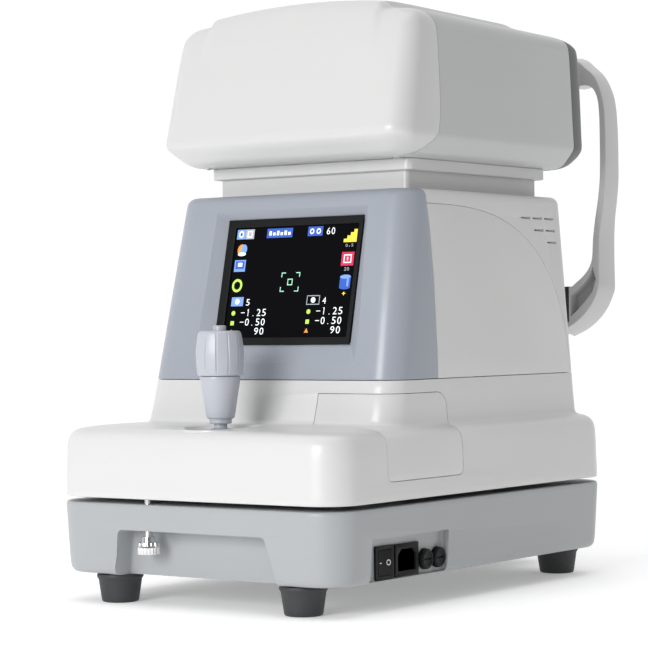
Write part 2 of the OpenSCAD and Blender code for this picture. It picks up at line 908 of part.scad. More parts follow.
module head_shell() {
    difference() {
        loft(head_levels);
        loft(inner(head_levels, wall, -wall));
        rounded_block(93.5, -38.5, 157.5, head_z - 2, head_z + 5, 12);
        rod_y([0, 190, axis_z], 36, 30);
    }
}

module head_front_cover() {
    color("white")
    intersection() {
        head_shell();
        box([-150, -150, 300], [150, -30, 500]);
    }
}

module head_main_cover() {
    color("lightgray")
    intersection() {
        head_shell();
        box([-150, -29.7, 300], [150, 177, 500]);
    }
}

module head_rear_cap() {
    color("gray")
    intersection() {
        head_shell();
        box([-150, 177.3, 300], [150, 250, 500]);
    }
}

module window_bezel() {
    color("black")
    translate([0, 0, axis_z]) difference() {
        union() {
            rod_y([0, 196, 0], 35.6, 9);
            rod_y([0, 202, 0], 38, 5);
        }
        translate([0, 195, 0]) rotate([-90, 0, 0])
            cylinder(r1 = 19, r2 = 33, h = 12.1, $fn = 96);
    }
}

module head_collar() {
    color("white")
    difference() {
        rounded_block(98, -42, 162, head_z - 9.3, head_z, 14);
        rounded_block(93.5, -38.5, 157.5, head_z - 10, head_z + 1, 12);
    }
}

module optical_bench() {
    color("gray")
    difference() {
        union() {
            box([-86, -34, bench_z], [86, 168, bench_z + 4]);
            box([-62, axle_y - 16, bench_z - 56], [62, axle_y + 16, bench_z]);
            for (y = [100, 150]) box([-20, y, bench_z + 4], [20, y + 8, axis_z - 8]);
            box([-54, -30, bench_z + 4], [-46, 40, bench_z + 9]);
            box([-24, -30, bench_z + 4], [24, 16, axis_z - 15]);
        }
        for (x = [-rod_x, rod_x]) rod_z([x, axle_y, bench_z - 57], rod_r + 0.06, 66);
        rod_z([0, axle_y, bench_z - 57], screw_r + 0.06, 66);
        rod_y([0, 90, axis_z], 16 + fit, 80);
    }
}

module objective_barrel() {
    color("black")
    difference() {
        rod_y([0, 92, axis_z], 16, 96);
        rod_y([0, 90, axis_z], 12, 100);
    }
}

module objective_lens() {
    color("lightcyan")
    intersection() {
        translate([0, 176, axis_z]) rotate([-90, 0, 0]) cylinder(r = 11.97, h = 10, $fn = 120);
        translate([0, 181 - 38, axis_z]) sphere(r = 42, $fn = 240);
        translate([0, 181 + 38, axis_z]) sphere(r = 42, $fn = 240);
    }
}

module mire_ring() {
    color("ivory")
    difference() {
        rod_y([0, 191, axis_z], 30, 3);
        rod_y([0, 190, axis_z], 14, 5);
    }
}

module camera() {
    color("dimgray")
    union() {
        box([-22, -28, axis_z - 15], [22, 12, axis_z + 22]);
        rod_y([0, 12, axis_z], 11, 22);
    }
}

module target_carriage() {
    color("slategray")
    difference() {
        box([-64, -10, bench_z + 4.5], [-36, 20, axis_z + 12]);
        box([-54.2, -11, bench_z + 4], [-45.8, 21, bench_z + 9.3]);
        rod_y([-50, -11, axis_z], 6, 32);
    }
}

base_cover();
base_plate();
feet();
switch_housing();
power_rocker();
inlet_socket();
inlet_pins();
fuse_holders();
fuse_cap_front();
fuse_cap_rear();
power_supply();
travel_racks();
lock_screw();
clamp_pad();
rest_column();
chin_beam();
rest_arms();
forehead_band();
forehead_pad();
chin_cup();
chin_post();
chin_wheel();
carriage_frame();
x_rails();
cross_axle();
axle_pinions();
stage_cover();
stage_plate();
rail_blocks();
tower_frame();
side_cover();
rear_cover();
front_bezel();
lcd_frame();
lcd_panel();
main_board();
neck_cover();
guide_rods();
lift_motor();
lead_screw();
printer_frame();
printer_cover();
platen_roller();
paper_roll();
gimbal_ring();
joystick_lever();
joystick_cone();
grip_ring();
measure_button();
head_front_cover();
head_main_cover();
head_rear_cap();
window_bezel();
head_collar();
optical_bench();
objective_barrel();
objective_lens();
mire_ring();
camera();
target_carriage();
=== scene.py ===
import json
import math

import bmesh
import bpy
import numpy as np
from mathutils import Matrix, Vector


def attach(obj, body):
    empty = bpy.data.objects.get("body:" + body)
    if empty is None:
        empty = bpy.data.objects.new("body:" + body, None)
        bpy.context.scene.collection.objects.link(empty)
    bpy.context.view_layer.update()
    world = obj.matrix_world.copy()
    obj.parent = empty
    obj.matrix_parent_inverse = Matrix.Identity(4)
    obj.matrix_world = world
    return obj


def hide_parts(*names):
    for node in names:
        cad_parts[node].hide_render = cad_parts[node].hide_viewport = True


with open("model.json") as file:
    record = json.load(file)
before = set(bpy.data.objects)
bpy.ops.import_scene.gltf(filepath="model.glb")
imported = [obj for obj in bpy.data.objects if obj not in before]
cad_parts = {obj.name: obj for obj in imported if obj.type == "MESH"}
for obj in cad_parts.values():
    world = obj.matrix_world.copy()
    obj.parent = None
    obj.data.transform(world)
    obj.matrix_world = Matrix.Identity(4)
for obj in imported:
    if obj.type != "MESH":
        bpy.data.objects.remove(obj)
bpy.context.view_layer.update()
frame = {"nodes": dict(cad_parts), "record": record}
MM = 0.001
PI = math.pi
WIDE = 150  # half width of the cutters that go right through the instrument, in millimetres
JOYSTICK = (0, -156, 0)  # where the joystick's axis meets the ground

# ---------------------------------------------------------------- materials


def noise(nt, at, scale, detail=2.0):
    """Noise texture over the object's own coordinates."""
    texture = nt.nodes.new("ShaderNodeTexNoise")
    texture.inputs["Scale"].default_value = scale
    texture.inputs["Detail"].default_value = detail
    nt.links.new(at.outputs["Object"], texture.inputs["Vector"])
    return texture.outputs["Fac"]


def mixed(nt, low, high, factor):
    """Colour that runs from low to high as the factor does."""
    mix = nt.nodes.new("ShaderNodeMix")
    mix.data_type = "RGBA"
    mix.inputs["A"].default_value = (*low, 1)
    mix.inputs["B"].default_value = (*high, 1)
    nt.links.new(factor, mix.inputs["Factor"])
    return mix.outputs["Result"]


def material(name, colour, rough, grain=900.0, bump=0.06, depth=0.00008, metal=0.0, tint=0.025,
             rough_var=0.05, coat=0.0, spec=0.5):
    """A surface with fine grain in its bump, and slow changes in its colour and roughness."""
    m = bpy.data.materials.new(name)
    m.use_nodes = True
    nt = m.node_tree
    b = nt.nodes["Principled BSDF"]
    b.inputs["Metallic"].default_value = metal
    b.inputs["Coat Weight"].default_value = coat
    b.inputs["Coat Roughness"].default_value = 0.12
    b.inputs["Specular IOR Level"].default_value = spec
    at = nt.nodes.new("ShaderNodeTexCoord")
    low = [c * (1 - tint) for c in colour]
    high = [min(1.0, c * (1 + tint)) for c in colour]
    nt.links.new(mixed(nt, low, high, noise(nt, at, 14.0, 3.0)), b.inputs["Base Color"])
    fine = noise(nt, at, grain)
    ramp = nt.nodes.new("ShaderNodeMapRange")
    ramp.inputs["From Min"].default_value = 0.3
    ramp.inputs["From Max"].default_value = 0.7
    ramp.inputs["To Min"].default_value = max(0.02, rough - rough_var)
    ramp.inputs["To Max"].default_value = min(1.0, rough + rough_var)
    nt.links.new(fine, ramp.inputs["Value"])
    nt.links.new(ramp.outputs["Result"], b.inputs["Roughness"])
    bm = nt.nodes.new("ShaderNodeBump")
    bm.inputs["Strength"].default_value = bump
    bm.inputs["Distance"].default_value = depth
    nt.links.new(fine, bm.inputs["Height"])
    nt.links.new(bm.outputs["Normal"], b.inputs["Normal"])
    return m


def brushed(name, colour, rough, stretch, grain=260.0, bump=0.25):
    """Metal with machining marks drawn out along one axis."""
    m = material(name, colour, rough, grain=grain, bump=bump, depth=0.00003, metal=1.0, tint=0.04)
    nt = m.node_tree
    fine = [n for n in nt.nodes if n.type == "TEX_NOISE" and n.inputs["Scale"].default_value == grain][0]
    at = [n for n in nt.nodes if n.type == "TEX_COORD"][0]
    mp = nt.nodes.new("ShaderNodeMapping")
    mp.inputs["Scale"].default_value = stretch
    nt.links.new(at.outputs["Object"], mp.inputs["Vector"])
    nt.links.new(mp.outputs["Vector"], fine.inputs["Vector"])
    return m


def glow(name, colour, strength):
    """A lit part of the display, with a faint pixel grid in its colour."""
    m = bpy.data.materials.new(name)
    m.use_nodes = True
    nt = m.node_tree
    b = nt.nodes["Principled BSDF"]
    b.inputs["Roughness"].default_value = 0.3
    b.inputs["Emission Strength"].default_value = strength
    at = nt.nodes.new("ShaderNodeTexCoord")
    grid = mixed(nt, [c * 0.82 for c in colour], colour, noise(nt, at, 1500.0))
    nt.links.new(grid, b.inputs["Base Color"])
    nt.links.new(grid, b.inputs["Emission Color"])
    return m


M = {
    "white_plastic": material("white_plastic", (0.64, 0.64, 0.638), 0.36, tint=0.012, coat=0.15),
    "base_grey_plastic": material("base_grey_plastic", (0.37, 0.385, 0.395), 0.36, grain=1400.0,
                                  bump=0.10, tint=0.02),
    "bezel_plastic": material("bezel_plastic", (0.33, 0.355, 0.405), 0.34, tint=0.02, coat=0.1),
    "head_side_plastic": material("head_side_plastic", (0.54, 0.545, 0.548), 0.38, tint=0.015),
    # head_rear_plastic's dark grey is painted shade: the rear cap faces away from the light, and its colour
    # is darkened to stand for that shade
    "head_rear_plastic": material("head_rear_plastic", (0.15, 0.154, 0.16), 0.45, tint=0.03),
    "joystick_plastic": material("joystick_plastic", (0.45, 0.47, 0.52), 0.32, tint=0.02),
    "black_plastic": material("black_plastic", (0.007, 0.0075, 0.008), 0.5, tint=0.15, spec=0.18),
    "dark_plastic": material("dark_plastic", (0.035, 0.036, 0.038), 0.5, grain=700.0, bump=0.15,
                             tint=0.1),
    "black_rubber": material("black_rubber", (0.03, 0.031, 0.034), 0.55, grain=600.0, bump=0.2,
                             tint=0.2),
    "pad_rubber": material("pad_rubber", (0.62, 0.62, 0.60), 0.62, grain=500.0, bump=0.25,
                           tint=0.05),
    "sheet_steel": material("sheet_steel", (0.22, 0.225, 0.23), 0.45, grain=500.0, bump=0.2,
                            metal=0.4, tint=0.08),
    "bright_steel": brushed("bright_steel", (0.62, 0.62, 0.61), 0.26, (1, 1, 0.08)),
    "motor_steel": material("motor_steel", (0.03, 0.03, 0.032), 0.45, tint=0.1, metal=0.3),
    "cast_aluminium": brushed("cast_aluminium", (0.56, 0.57, 0.58), 0.4, (1, 0.2, 1)),
    "chrome": brushed("chrome", (0.78, 0.78, 0.79), 0.1, (1, 1, 0.3), grain=400.0, bump=0.08),
    "brass": brushed("brass", (0.60, 0.43, 0.17), 0.3, (1, 0.3, 1)),
    "circuit_board": material("circuit_board", (0.01, 0.09, 0.035), 0.35, grain=350.0, bump=0.3,
                              tint=0.25),
    "screen_glass": material("screen_glass", (0.003, 0.003, 0.004), 0.2, grain=1800.0, bump=0.01,
                             rough_var=0.02, tint=0.2, spec=0.05),
    "black_metal": material("black_metal", (0.02, 0.02, 0.021), 0.42, metal=0.5, tint=0.15),
    "ring_plastic": material("ring_plastic", (0.75, 0.75, 0.70), 0.5, tint=0.03),
    "paper": material("paper", (0.80, 0.80, 0.77), 0.85, grain=700.0, bump=0.3, tint=0.03),
    "print_white": material("print_white", (0.8, 0.8, 0.8), 0.55, tint=0.05),
}
lens = material("lens_glass", (0.55, 0.75, 0.72), 0.04, bump=0.01, rough_var=0.01)
lens.node_tree.nodes["Principled BSDF"].inputs["Transmission Weight"].default_value = 0.9
M["lens_glass"] = lens
for name, colour, strength in (
    ("lit_white", (0.85, 0.88, 0.90), 0.55), ("lit_grey", (0.42, 0.45, 0.50), 0.4),
    ("lit_blue", (0.03, 0.09, 0.42), 0.7), ("lit_sky", (0.16, 0.30, 0.72), 0.7),
    ("lit_yellow", (0.85, 0.62, 0.05), 0.7), ("lit_lime", (0.45, 0.70, 0.10), 0.6),
    ("lit_red", (0.55, 0.02, 0.08), 0.6), ("lit_mint", (0.35, 0.75, 0.55), 0.6),
    ("lit_orange", (0.80, 0.28, 0.05), 0.6),
):
    M[name] = glow(name, colour, strength)

# every CAD node gets the finish that the record names for it
slot_of = {s["node"]: s["material_slot"] for s in frame["record"]["subparts"]}
for node, obj in frame["nodes"].items():
    obj.data.materials.clear()
    obj.data.materials.append(M[slot_of[node]])

# ---------------------------------------------------------------- mesh helpers


def link(o):
    bpy.context.scene.collection.objects.link(o)
    return o


def new_mesh(name, verts, faces):
    me = bpy.data.meshes.new(name)
    me.from_pydata([tuple(v) for v in verts], [], faces)
    me.validate()
    me.update()
    bm = bmesh.new()
    bm.from_mesh(me)
    bmesh.ops.remove_doubles(bm, verts=bm.verts, dist=1e-7)
    bmesh.ops.recalc_face_normals(bm, faces=bm.faces)
    bm.to_mesh(me)
    bm.free()
    return link(bpy.data.objects.new(name, me))


def apply_modifiers(o):
    dg = bpy.context.evaluated_depsgraph_get()
    me = bpy.data.meshes.new_from_object(o.evaluated_get(dg))
    old = o.data
    o.modifiers.clear()
    o.data = me
    bpy.data.meshes.remove(old)
    return o


def boolean(o, other, op):
    """Joins, cuts or crosses the body with another, which is used up."""
    mod = o.modifiers.new("b", "BOOLEAN")
    mod.operation = op
    mod.object = other
    mod.solver = "EXACT"
    apply_modifiers(o)
    bpy.data.objects.remove(other)
    return o


def cut(o, *others):
    for c in others:
        boolean(o, c, "DIFFERENCE")
    return o


def copy(o, name):
    return link(bpy.data.objects.new(name, o.data.copy()))


def smooth(o, angle=35):
    for p in o.data.polygons:
        p.use_smooth = True
    bm = bmesh.new()
    bm.from_mesh(o.data)
    lim = math.radians(angle)
    for e in bm.edges:
        e.smooth = len(e.link_faces) == 2 and e.calc_face_angle(0.0) < lim
    bm.to_mesh(o.data)
    bm.free()
    return o


def bevel(o, width, segments=2, angle=38):
    """Rounds the sharp edges, as a mould or a deburring tool leaves them."""
    mod = o.modifiers.new("v", "BEVEL")
    mod.width = width * MM
    mod.segments = segments
    mod.limit_method = "ANGLE"
    mod.angle_limit = math.radians(angle)
    mod.use_clamp_overlap = True
    mod.miter_outer = "MITER_ARC"
    apply_modifiers(o)
    return o


def tidy(o, dist=0.00002, angle=0.4):
    """Welds slivers and joins flat neighbours, so that a bevel can run along clean edges."""
    bm = bmesh.new()
    bm.from_mesh(o.data)
    bmesh.ops.remove_doubles(bm, verts=bm.verts, dist=dist)
    bmesh.ops.dissolve_limit(bm, angle_limit=math.radians(angle), verts=bm.verts, edges=bm.edges)
    bm.to_mesh(o.data)
    bm.free()
    return o


def put(o, body, slot, *nodes, mat=None):
    """Gives the piece its finish and its body, and hides the CAD nodes it stands for."""
    o.data.materials.clear()
    o.data.materials.append(mat or M[slot])
    if nodes:
        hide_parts(*nodes)
    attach(o, body)
    return o


def outline(x0, x1, y0, y1, r, nc=10, nx=12, ny=16, rear=None):
    """Round-cornered outline with the same number of points at every size."""
    most = min((x1 - x0) / 2, (y1 - y0) / 2) - 0.01
    f, b = min(r, most), min(r if rear is None else rear, most)
    corners = [(x1 - f, y0 + f, f, -90), (x1 - b, y1 - b, b, 0), (x0 + b, y1 - b, b, 90),
               (x0 + f, y0 + f, f, 180)]
    pts = []
    for k, (cx, cy, rad, a0) in enumerate(corners):
        arc = [(cx + rad * math.cos(math.radians(a0 + 90 * i / nc)),
                cy + rad * math.sin(math.radians(a0 + 90 * i / nc))) for i in range(nc + 1)]
        pts += arc
        mx, my, nr, b0 = corners[(k + 1) % 4]
        q = (mx + nr * math.cos(math.radians(b0)), my + nr * math.sin(math.radians(b0)))
        n = ny if k in (0, 2) else nx
        for i in range(1, n):
            t = i / n
            pts.append((arc[-1][0] * (1 - t) + q[0] * t, arc[-1][1] * (1 - t) + q[1] * t))
    return pts


def loft(name, rings):
    """Body through rings of equal length, in millimetres, capped flat at its first and last ring."""
    n = len(rings[0])
    verts = [Vector(p) * MM for ring in rings for p in ring]
    faces = []
    for k in range(len(rings) - 1):
        for i in range(n):
            j = (i + 1) % n
            faces.append((k * n + i, k * n + j, (k + 1) * n + j, (k + 1) * n + i))
    faces.append(tuple(reversed(range(n))))
    faces.append(tuple((len(rings) - 1) * n + i for i in range(n)))
    return new_mesh(name, verts, faces)


def through(rows, steps):
    """Smooth, never overshooting curve through rows of numbers, with steps between neighbours."""
    p = np.array(rows, float)
    t = np.concatenate([[0], np.cumsum(np.linalg.norm(np.diff(p[:, :3], axis=0), axis=1))])
    h = np.diff(t)
    d = np.diff(p, axis=0) / h[:, None]
    m = np.zeros_like(p)
    m[0], m[-1] = d[0], d[-1]
    for i in range(1, len(p) - 1):
        same = d[i - 1] * d[i] > 0
        w1, w2 = 2 * h[i] + h[i - 1], h[i] + 2 * h[i - 1]
        safe = np.where(same, d[i - 1], 1.0), np.where(same, d[i], 1.0)
        m[i] = np.where(same, (w1 + w2) / (w1 / safe[0] + w2 / safe[1]), 0.0)
    out = []
    for i in range(len(p) - 1):
        for k in range(steps):
            s = k / steps
            a = (1 + 2 * s) * (1 - s) ** 2 * p[i] + s * (1 - s) ** 2 * h[i] * m[i]
            out.append(a + s * s * (3 - 2 * s) * p[i + 1] + s * s * (s - 1) * h[i] * m[i + 1])
    out.append(p[-1])
    return out


def levels_loft(name, levels, steps=4, nx=12, ny=16):
    """Body through levels of (z, half width, front y, rear y, corner radius)."""
    rows = through(levels, steps) if steps > 1 else levels
    return loft(name, [[(x, y, z) for x, y in outline(-hw, hw, y0, y1, r, nx=nx, ny=ny)]
                       for z, hw, y0, y1, r in rows])


def bar(name, z0, z1, hw, y0, y1, r, n):
    """Upright bar with round corners, used as a cutter."""
    return levels_loft(name, [(z0, hw, y0, y1, r), (z1, hw, y0, y1, r)], 1, nx=n, ny=n)


def box_mesh(name, a, b, r=0.0, seg=4):
    xs, ys, zs = zip(a, b)
    v = [Vector((x, y, z)) * MM for z in zs for y in ys for x in xs]
    f = [(0, 2, 3, 1), (4, 5, 7, 6), (0, 1, 5, 4), (2, 6, 7, 3), (0, 4, 6, 2), (1, 3, 7, 5)]
    o = new_mesh(name, v, f)
    if r:
        bevel(o, r, seg, 30)
    return o


def hexa(name, near, far, r=0.0, seg=4):
    """Body between two four-sided faces with matching corners."""
    v = [Vector(p) * MM for p in list(near) + list(far)]
    f = [(3, 2, 1, 0), (4, 5, 6, 7)] + [(i, (i + 1) % 4, 4 + (i + 1) % 4, 4 + i) for i in range(4)]
    o = new_mesh(name, v, f)
    if r:
        bevel(o, r, seg, 20)
    return o


def prism(name, near, far):
    """Body between two outlines with matching corners."""
    n = len(near)
    v = [Vector(p) * MM for p in [*near, *far]]
    f = [tuple(range(n)), tuple(reversed(range(n, 2 * n)))]
    f += [(i, (i + 1) % n, n + (i + 1) % n, n + i) for i in range(n)]
    return new_mesh(name, v, f)


def prism_x(name, poly, x0=-WIDE):
    """Body with the same (y, z) outline from x0 out past the instrument's right side."""
    return prism(name, [(x0, y, z) for y, z in poly], [(WIDE, y, z) for y, z in poly])


def turned(name, profile, at=(0, 0, 0), axis="z", n=64, shape=None):
    """Body of revolution from (radius, height) pairs, capped flat at both ends: a bore is cut afterwards."""
    rings = []
    for r, h in profile:
        ring = []
        for i in range(n):
            a = 2 * PI * i / n
            rr = shape(r, h, a) if shape else r
            x, y = rr * math.cos(a), rr * math.sin(a)
            p = {"z": (x, y, h), "x": (h, x, y), "y": (y, h, x)}[axis]
            ring.append((p[0] + at[0], p[1] + at[1], p[2] + at[2]))
        rings.append(ring)
    return loft(name, rings)


def soft_copy(node, width):
    """The CAD node's own shape with its sharp edges broken."""
    o = copy(frame["nodes"][node], node + "_edged")
    tidy(o)
    bevel(o, width, 2, 35)
    return smooth(o, 30)


def step(t):
    """Smooth rise from 0 to 1, flat outside that range."""
    t = max(0.0, min(1.0, t))
    return t * t * (3 - 2 * t)


# ---------------------------------------------------------------- base

base_rows = [
    (22, 127.0, -187.0, 187.0, 21), (22.6, 129.3, -189.3, 189.3, 22), (24, 131.1, -191.1, 191.1, 23),
    (26.3, 132.4, -192.4, 192.4, 24), (29.5, 133.1, -193.1, 193.1, 25), (45, 134.2, -194.2, 194.2, 26),
    (70, 135.8, -195.8, 195.8, 28), (74.6, 136.0, -196.0, 196.0, 28), (76.6, 135.4, -195.4, 195.4, 27.4),
    (77.3, 134.0, -194.0, 194.0, 26),
]
base = levels_loft("base_cover_moulded", base_rows, 3)
hollow = levels_loft("hollow", [(18, 129, -189, 189, 20), (74.3, 132.8, -192.8, 192.8, 24)], 1)
for grown in (
    hexa("g1", [(-86, -210, 15), (86, -210, 15), (72.5, -210, 60.3), (-72.5, -210, 60.3)],
         [(-86, -171, 15), (86, -171, 15), (72.5, -171, 60.3), (-72.5, -171, 60.3)]),
    box_mesh("g2", (125, -155, 10), (150, -47, 58)),
):
    boolean(hollow, grown, "DIFFERENCE")
cut(base, hollow)
cut(
    base,
    hexa("recess", [(-85.2, -208, 8), (85.2, -208, 8), (68.6, -208, 57.3), (-68.6, -208, 57.3)],
         [(-74.5, -174, 8), (74.5, -174, 8), (70.5, -174, 57.3), (-70.5, -174, 57.3)], 3.5, 5),
    box_mesh("power", (128, -152, 23.6), (150, -50, 55), 2.2, 4),
    turned("screw_way", [(3.05, 55), (3.05, 80)], (-43.4, -190, 0), n=32),
    box_mesh("seat1", (123, -139.2, 25.4), (129, -118, 47.2)),
    box_mesh("seat2", (123, -113.4, 26.1), (129, -86.4, 46.5)),
    turned("seat3", [(6.1, 123), (6.1, 130)], (0, -75.5, 34.5), "x", 32),
    turned("seat4", [(6.1, 123), (6.1, 130)], (0, -58.5, 34.5), "x", 32),
    box_mesh("tongue_way", (-46, 180, 21), (46, 198, 24.3)),
)
tidy(base)
bevel(base, 0.6, 2, 40)
put(smooth(base, 40), "base", "base_grey_plastic", "base_cover")

# rubber feet
for i, (x, y) in enumerate(((-87.6, -172), (87.6, -172), (-98, 172), (98, 172))):
    foot = turned("foot_%d" % i, [
        (5, 8), (5, 0.4), (5.6, 0), (12.6, 0), (13.8, 0.5), (14.3, 1.6), (14.7, 4), (15.9, 12),
        (16.6, 17), (17.2, 18.2), (17.8, 18.9), (17.9, 20.4), (17.4, 21.6), (16.5, 22), (5, 22)],
        (x, y, 0), n=72)
    smooth(foot, 40)
    put(foot, "base", "black_rubber", *(["feet"] if i == 0 else []))

for node, body, width in (
    ("base_plate", "base", 0.4), ("switch_housing", "base", 0.5), ("inlet_socket", "base", 0.5),
    ("inlet_pins", "base", 0.3), ("fuse_holders", "base", 0.4), ("power_supply", "base", 0.4),
    ("rest_column", "base", 1.0), ("chin_cup", "chin", 1.2),
    ("power_rocker", "rocker", 0.5), ("carriage_frame", "carriage", 0.4),
    ("main_board", "stage", 0.3), ("stage_plate", "stage", 0.4),
    ("tower_frame", "stage", 0.4), ("lift_motor", "stage", 0.8), ("printer_frame", "stage", 0.3),
    ("optical_bench", "head", 0.6), ("camera", "head", 0.8), ("target_carriage", "target", 0.5),
    ("window_bezel", "head", 0.5), ("lock_screw", "lock", 0.25), ("chin_wheel", "chin_nut", 0.4),
    ("chin_post", "chin", 0.6),
):
    put(soft_copy(node, width), body, slot_of[node], node)

band = copy(frame["nodes"]["forehead_band"], "forehead_band_edged")
tidy(band)
boolean(band, box_mesh("band_zone", (-WIDE, 200, 414.8), (WIDE, 300, 437.6)), "INTERSECT")
bevel(band, 0.8, 2, 35)
put(smooth(band, 30), "base", slot_of["forehead_band"], "forehead_band")
beam = copy(frame["nodes"]["chin_beam"], "chin_beam_edged")
tidy(beam)
boolean(beam, box_mesh("beam_zone", (-73, 200, 190), (73, 290, 250)), "INTERSECT")
beam_corner = [(55, 194), (80, 190), (80, 216), (67, 206)]
for side in (-1, 1):
    cut(beam, hexa("beam_corner", [(side * x, 210, z) for x, z in beam_corner],
                   [(side * x, 275, z) for x, z in beam_corner]))
bevel(beam, 1.5, 2, 35)
put(smooth(beam, 30), "base", slot_of["chin_beam"], "chin_beam")

# on and off marks of the switch, printed on the rocker
marks = bmesh.new()
on_rocker = Matrix.Translation(Vector((124, -128.6, 36.3)) * MM) @ Matrix.Rotation(math.radians(-6), 4, "Z")


def rocker_face(y):
    """Depth of the rocker's hollow face at a distance from its middle."""
    return 5 + 1.6 * min(1.0, abs(y) / 7.9) + 0.04


def strip(bm, pts, place):
    """Row of quads through pairs of points."""
    prev = None
    for a, b in pts:
        pair = [bm.verts.new(place @ (Vector(q) * MM)) for q in (a, b)]
        if prev:
            bm.faces.new((prev[0], prev[1], pair[1], pair[0]))
        prev = pair


strip(marks, [((rocker_face(y), y, -0.35), (rocker_face(y), y, 0.35)) for y in (-5.8, -4.5, -3.2)], on_rocker)
ring = []
for k in range(33):
    a = 2 * PI * k / 32
    ring.append(tuple((rocker_face(4.4 + r * math.cos(a)), 4.4 + r * math.cos(a), r * 1.1 * math.sin(a))
                      for r in (1.35, 1.95)))
strip(marks, ring, on_rocker)
me = bpy.data.meshes.new("rocker_marks")
marks.to_mesh(me)
marks.free()
put(link(bpy.data.objects.new("rocker_marks", me)), "rocker", "black_plastic", mat=M["print_white"])

# fuse caps: a domed rim, a dished middle and a screwdriver slot
for node, y in (("fuse_cap_front", -75.5), ("fuse_cap_rear", -58.5)):
    cap = turned(node + "_turned", [
        (0.4, 108.2), (4.0, 108.2), (4.15, 108.6), (4.15, 129.4), (7.2, 129.5), (7.7, 129.9),
        (7.7, 131.3), (7.45, 132.0), (6.8, 132.4), (5.9, 132.5), (5.5, 132.2), (5.1, 131.9), (0.4, 131.9)],
        (0, y, 34.5), "x", 72)
    cut(cap, box_mesh("slot", (130.6, y - 4.6, 33.8), (134, y + 4.6, 35.2)))
    put(smooth(cap, 40), {"fuse_cap_front": "fuse_front", "fuse_cap_rear": "fuse_rear"}[node],
        "black_plastic", node)

# ---------------------------------------------------------------- stage

stage_rows = [
    (81.0, 135.2, -195.0, 195.0, 27.5), (81.8, 136.0, -195.6, 195.6, 28), (100, 135.6, -195.1, 195.1, 27.6),
    (118, 135.0, -194.5, 194.5, 27), (124, 134.2, -193.6, 193.6, 26), (128, 132.6, -192.0, 192.2, 25),
    (131, 129.6, -189.0, 189.4, 23), (133, 124.8, -183.0, 185.0, 20), (134.3, 117.5, -170.0, 179.0, 19),
    (134.9, 110.0, -154.0, 172.0, 20), (135.0, 95.0, -135.0, 150.0, 18),
]


def shelf(x, y):
    """Height of the stage's top under a point."""
    z = [r[0] for r in stage_rows]
    zx = np.interp(-abs(x), [-r[1] for r in stage_rows], z)
    zf = np.interp(y, [r[2] for r in stage_rows[1:]], z[1:])
    zr = np.interp(-y, [-r[3] for r in stage_rows[1:]], z[1:])
    return float(min(zx, zf, zr))


TOWER_FOOT, TOWER_RISE = 168.3, 145.7  # height of the tower's foot, and the tower's own height
TOWER_FRONT, TOWER_LEAN = -99, 33  # y of its front at the foot, and how far that leans back by the top


def tower(z, inset=0.0):
    """Half width, front y, rear y and corner radius of the tower at a height."""
    k = (z - TOWER_FOOT) / TOWER_RISE
    return (120 - 7 * k - inset, TOWER_LEAN * k + TOWER_FRONT + inset, 172 - 8 * k - inset, 21 - inset)


def tower_ring(z, grow=0.0):
    """Outline of the tower at a height, grown outwards, or drawn in where the growth is negative."""
    hw, y0, y1, r = tower(z, -grow)
    return [(x, y, z) for x, y in outline(-hw, hw, y0, y1, r, 12, 30, 30, rear=r - 8)]


stage = levels_loft("stage_cover_moulded", stage_rows, 4, nx=24, ny=30)
foot_rings = [tower_ring(122, 4.5)]
for k in range(9):
    a = PI / 2 * k / 8
    foot_rings.append([(x, y, shelf(x, y) - 0.25 + 4.5 * (1 - math.cos(a)))
                       for x, y, _ in tower_ring(135, 4.5 * (1 - math.sin(a)))])
foot_rings += [tower_ring(150), tower_ring(167.5), tower_ring(168.1, -0.3)]
boolean(stage, loft("foot", foot_rings), "UNION")
cut(stage, levels_loft("h1", [(70, 132.5, -192.5, 192.5, 25), (118, 132, -191.5, 191.5, 24),
                              (126, 129, -189, 189, 22), (129.5, 122, -182, 183, 18),
                              (131.6, 108, -152, 170, 18)], 1, nx=24, ny=30))
cut(stage, loft("h2", [tower_ring(z, -3) for z in (125, 150, 172)]))
ring_under = turned("ring_under", [(0.5, 126.5), (32, 126.5), (32, 133.2), (0.5, 133.2)], JOYSTICK, n=96)
boolean(stage, ring_under, "UNION")
dish = [(0.4, 131.5), (24.6, 131.5), (25.9, 131.8), (26.8, 132.6), (27.5, 133.6), (28.3, 134.4),
        (29.6, 134.95), (30.4, 135.4), (30.6, 140), (0.4, 140)]
cut(stage, turned("dish", dish, JOYSTICK, n=96))
hole = [(25.6, 120), (24.6, 127.1), (20.8, 129.4), (16.5, 131.4), (16.1, 131.8), (16.1, 133), (0.3, 133)]
cut(stage, turned("dome_way", [(0.3, 120)] + hole, JOYSTICK, n=96))
tidy(stage, 0.00001, 0.15)


def door_prism(name, gap):
    """The printer cover's outline on the side, as a body running out to the right."""
    y0, y1, z0, z1, r, rt = -132 + gap, -30 - gap, 95 + gap, 158.5 - gap, 6 - gap, 12 - gap
    poly = [(y0, z0 + r), *[(y0 + r - r * math.cos(a), z0 + r - r * math.sin(a))
                            for a in np.linspace(0, PI / 2, 7)],
            *[(y1 - r + r * math.sin(a), z0 + r - r * math.cos(a)) for a in np.linspace(0, PI / 2, 7)],
            *[(y1 - rt + rt * math.cos(a), z1 - rt + rt * math.sin(a)) for a in np.linspace(0, PI / 2, 9)],
            *[(y0 + r - r * math.sin(a), z1 - r + r * math.cos(a)) for a in np.linspace(0, PI / 2, 7)]]
    clean = [poly[0]]
    for p in poly[1:]:
        if (p[0] - clean[-1][0]) ** 2 + (p[1] - clean[-1][1]) ** 2 > 1e-4:
            clean.append(p)
    return prism_x(name, clean, 51 + gap)


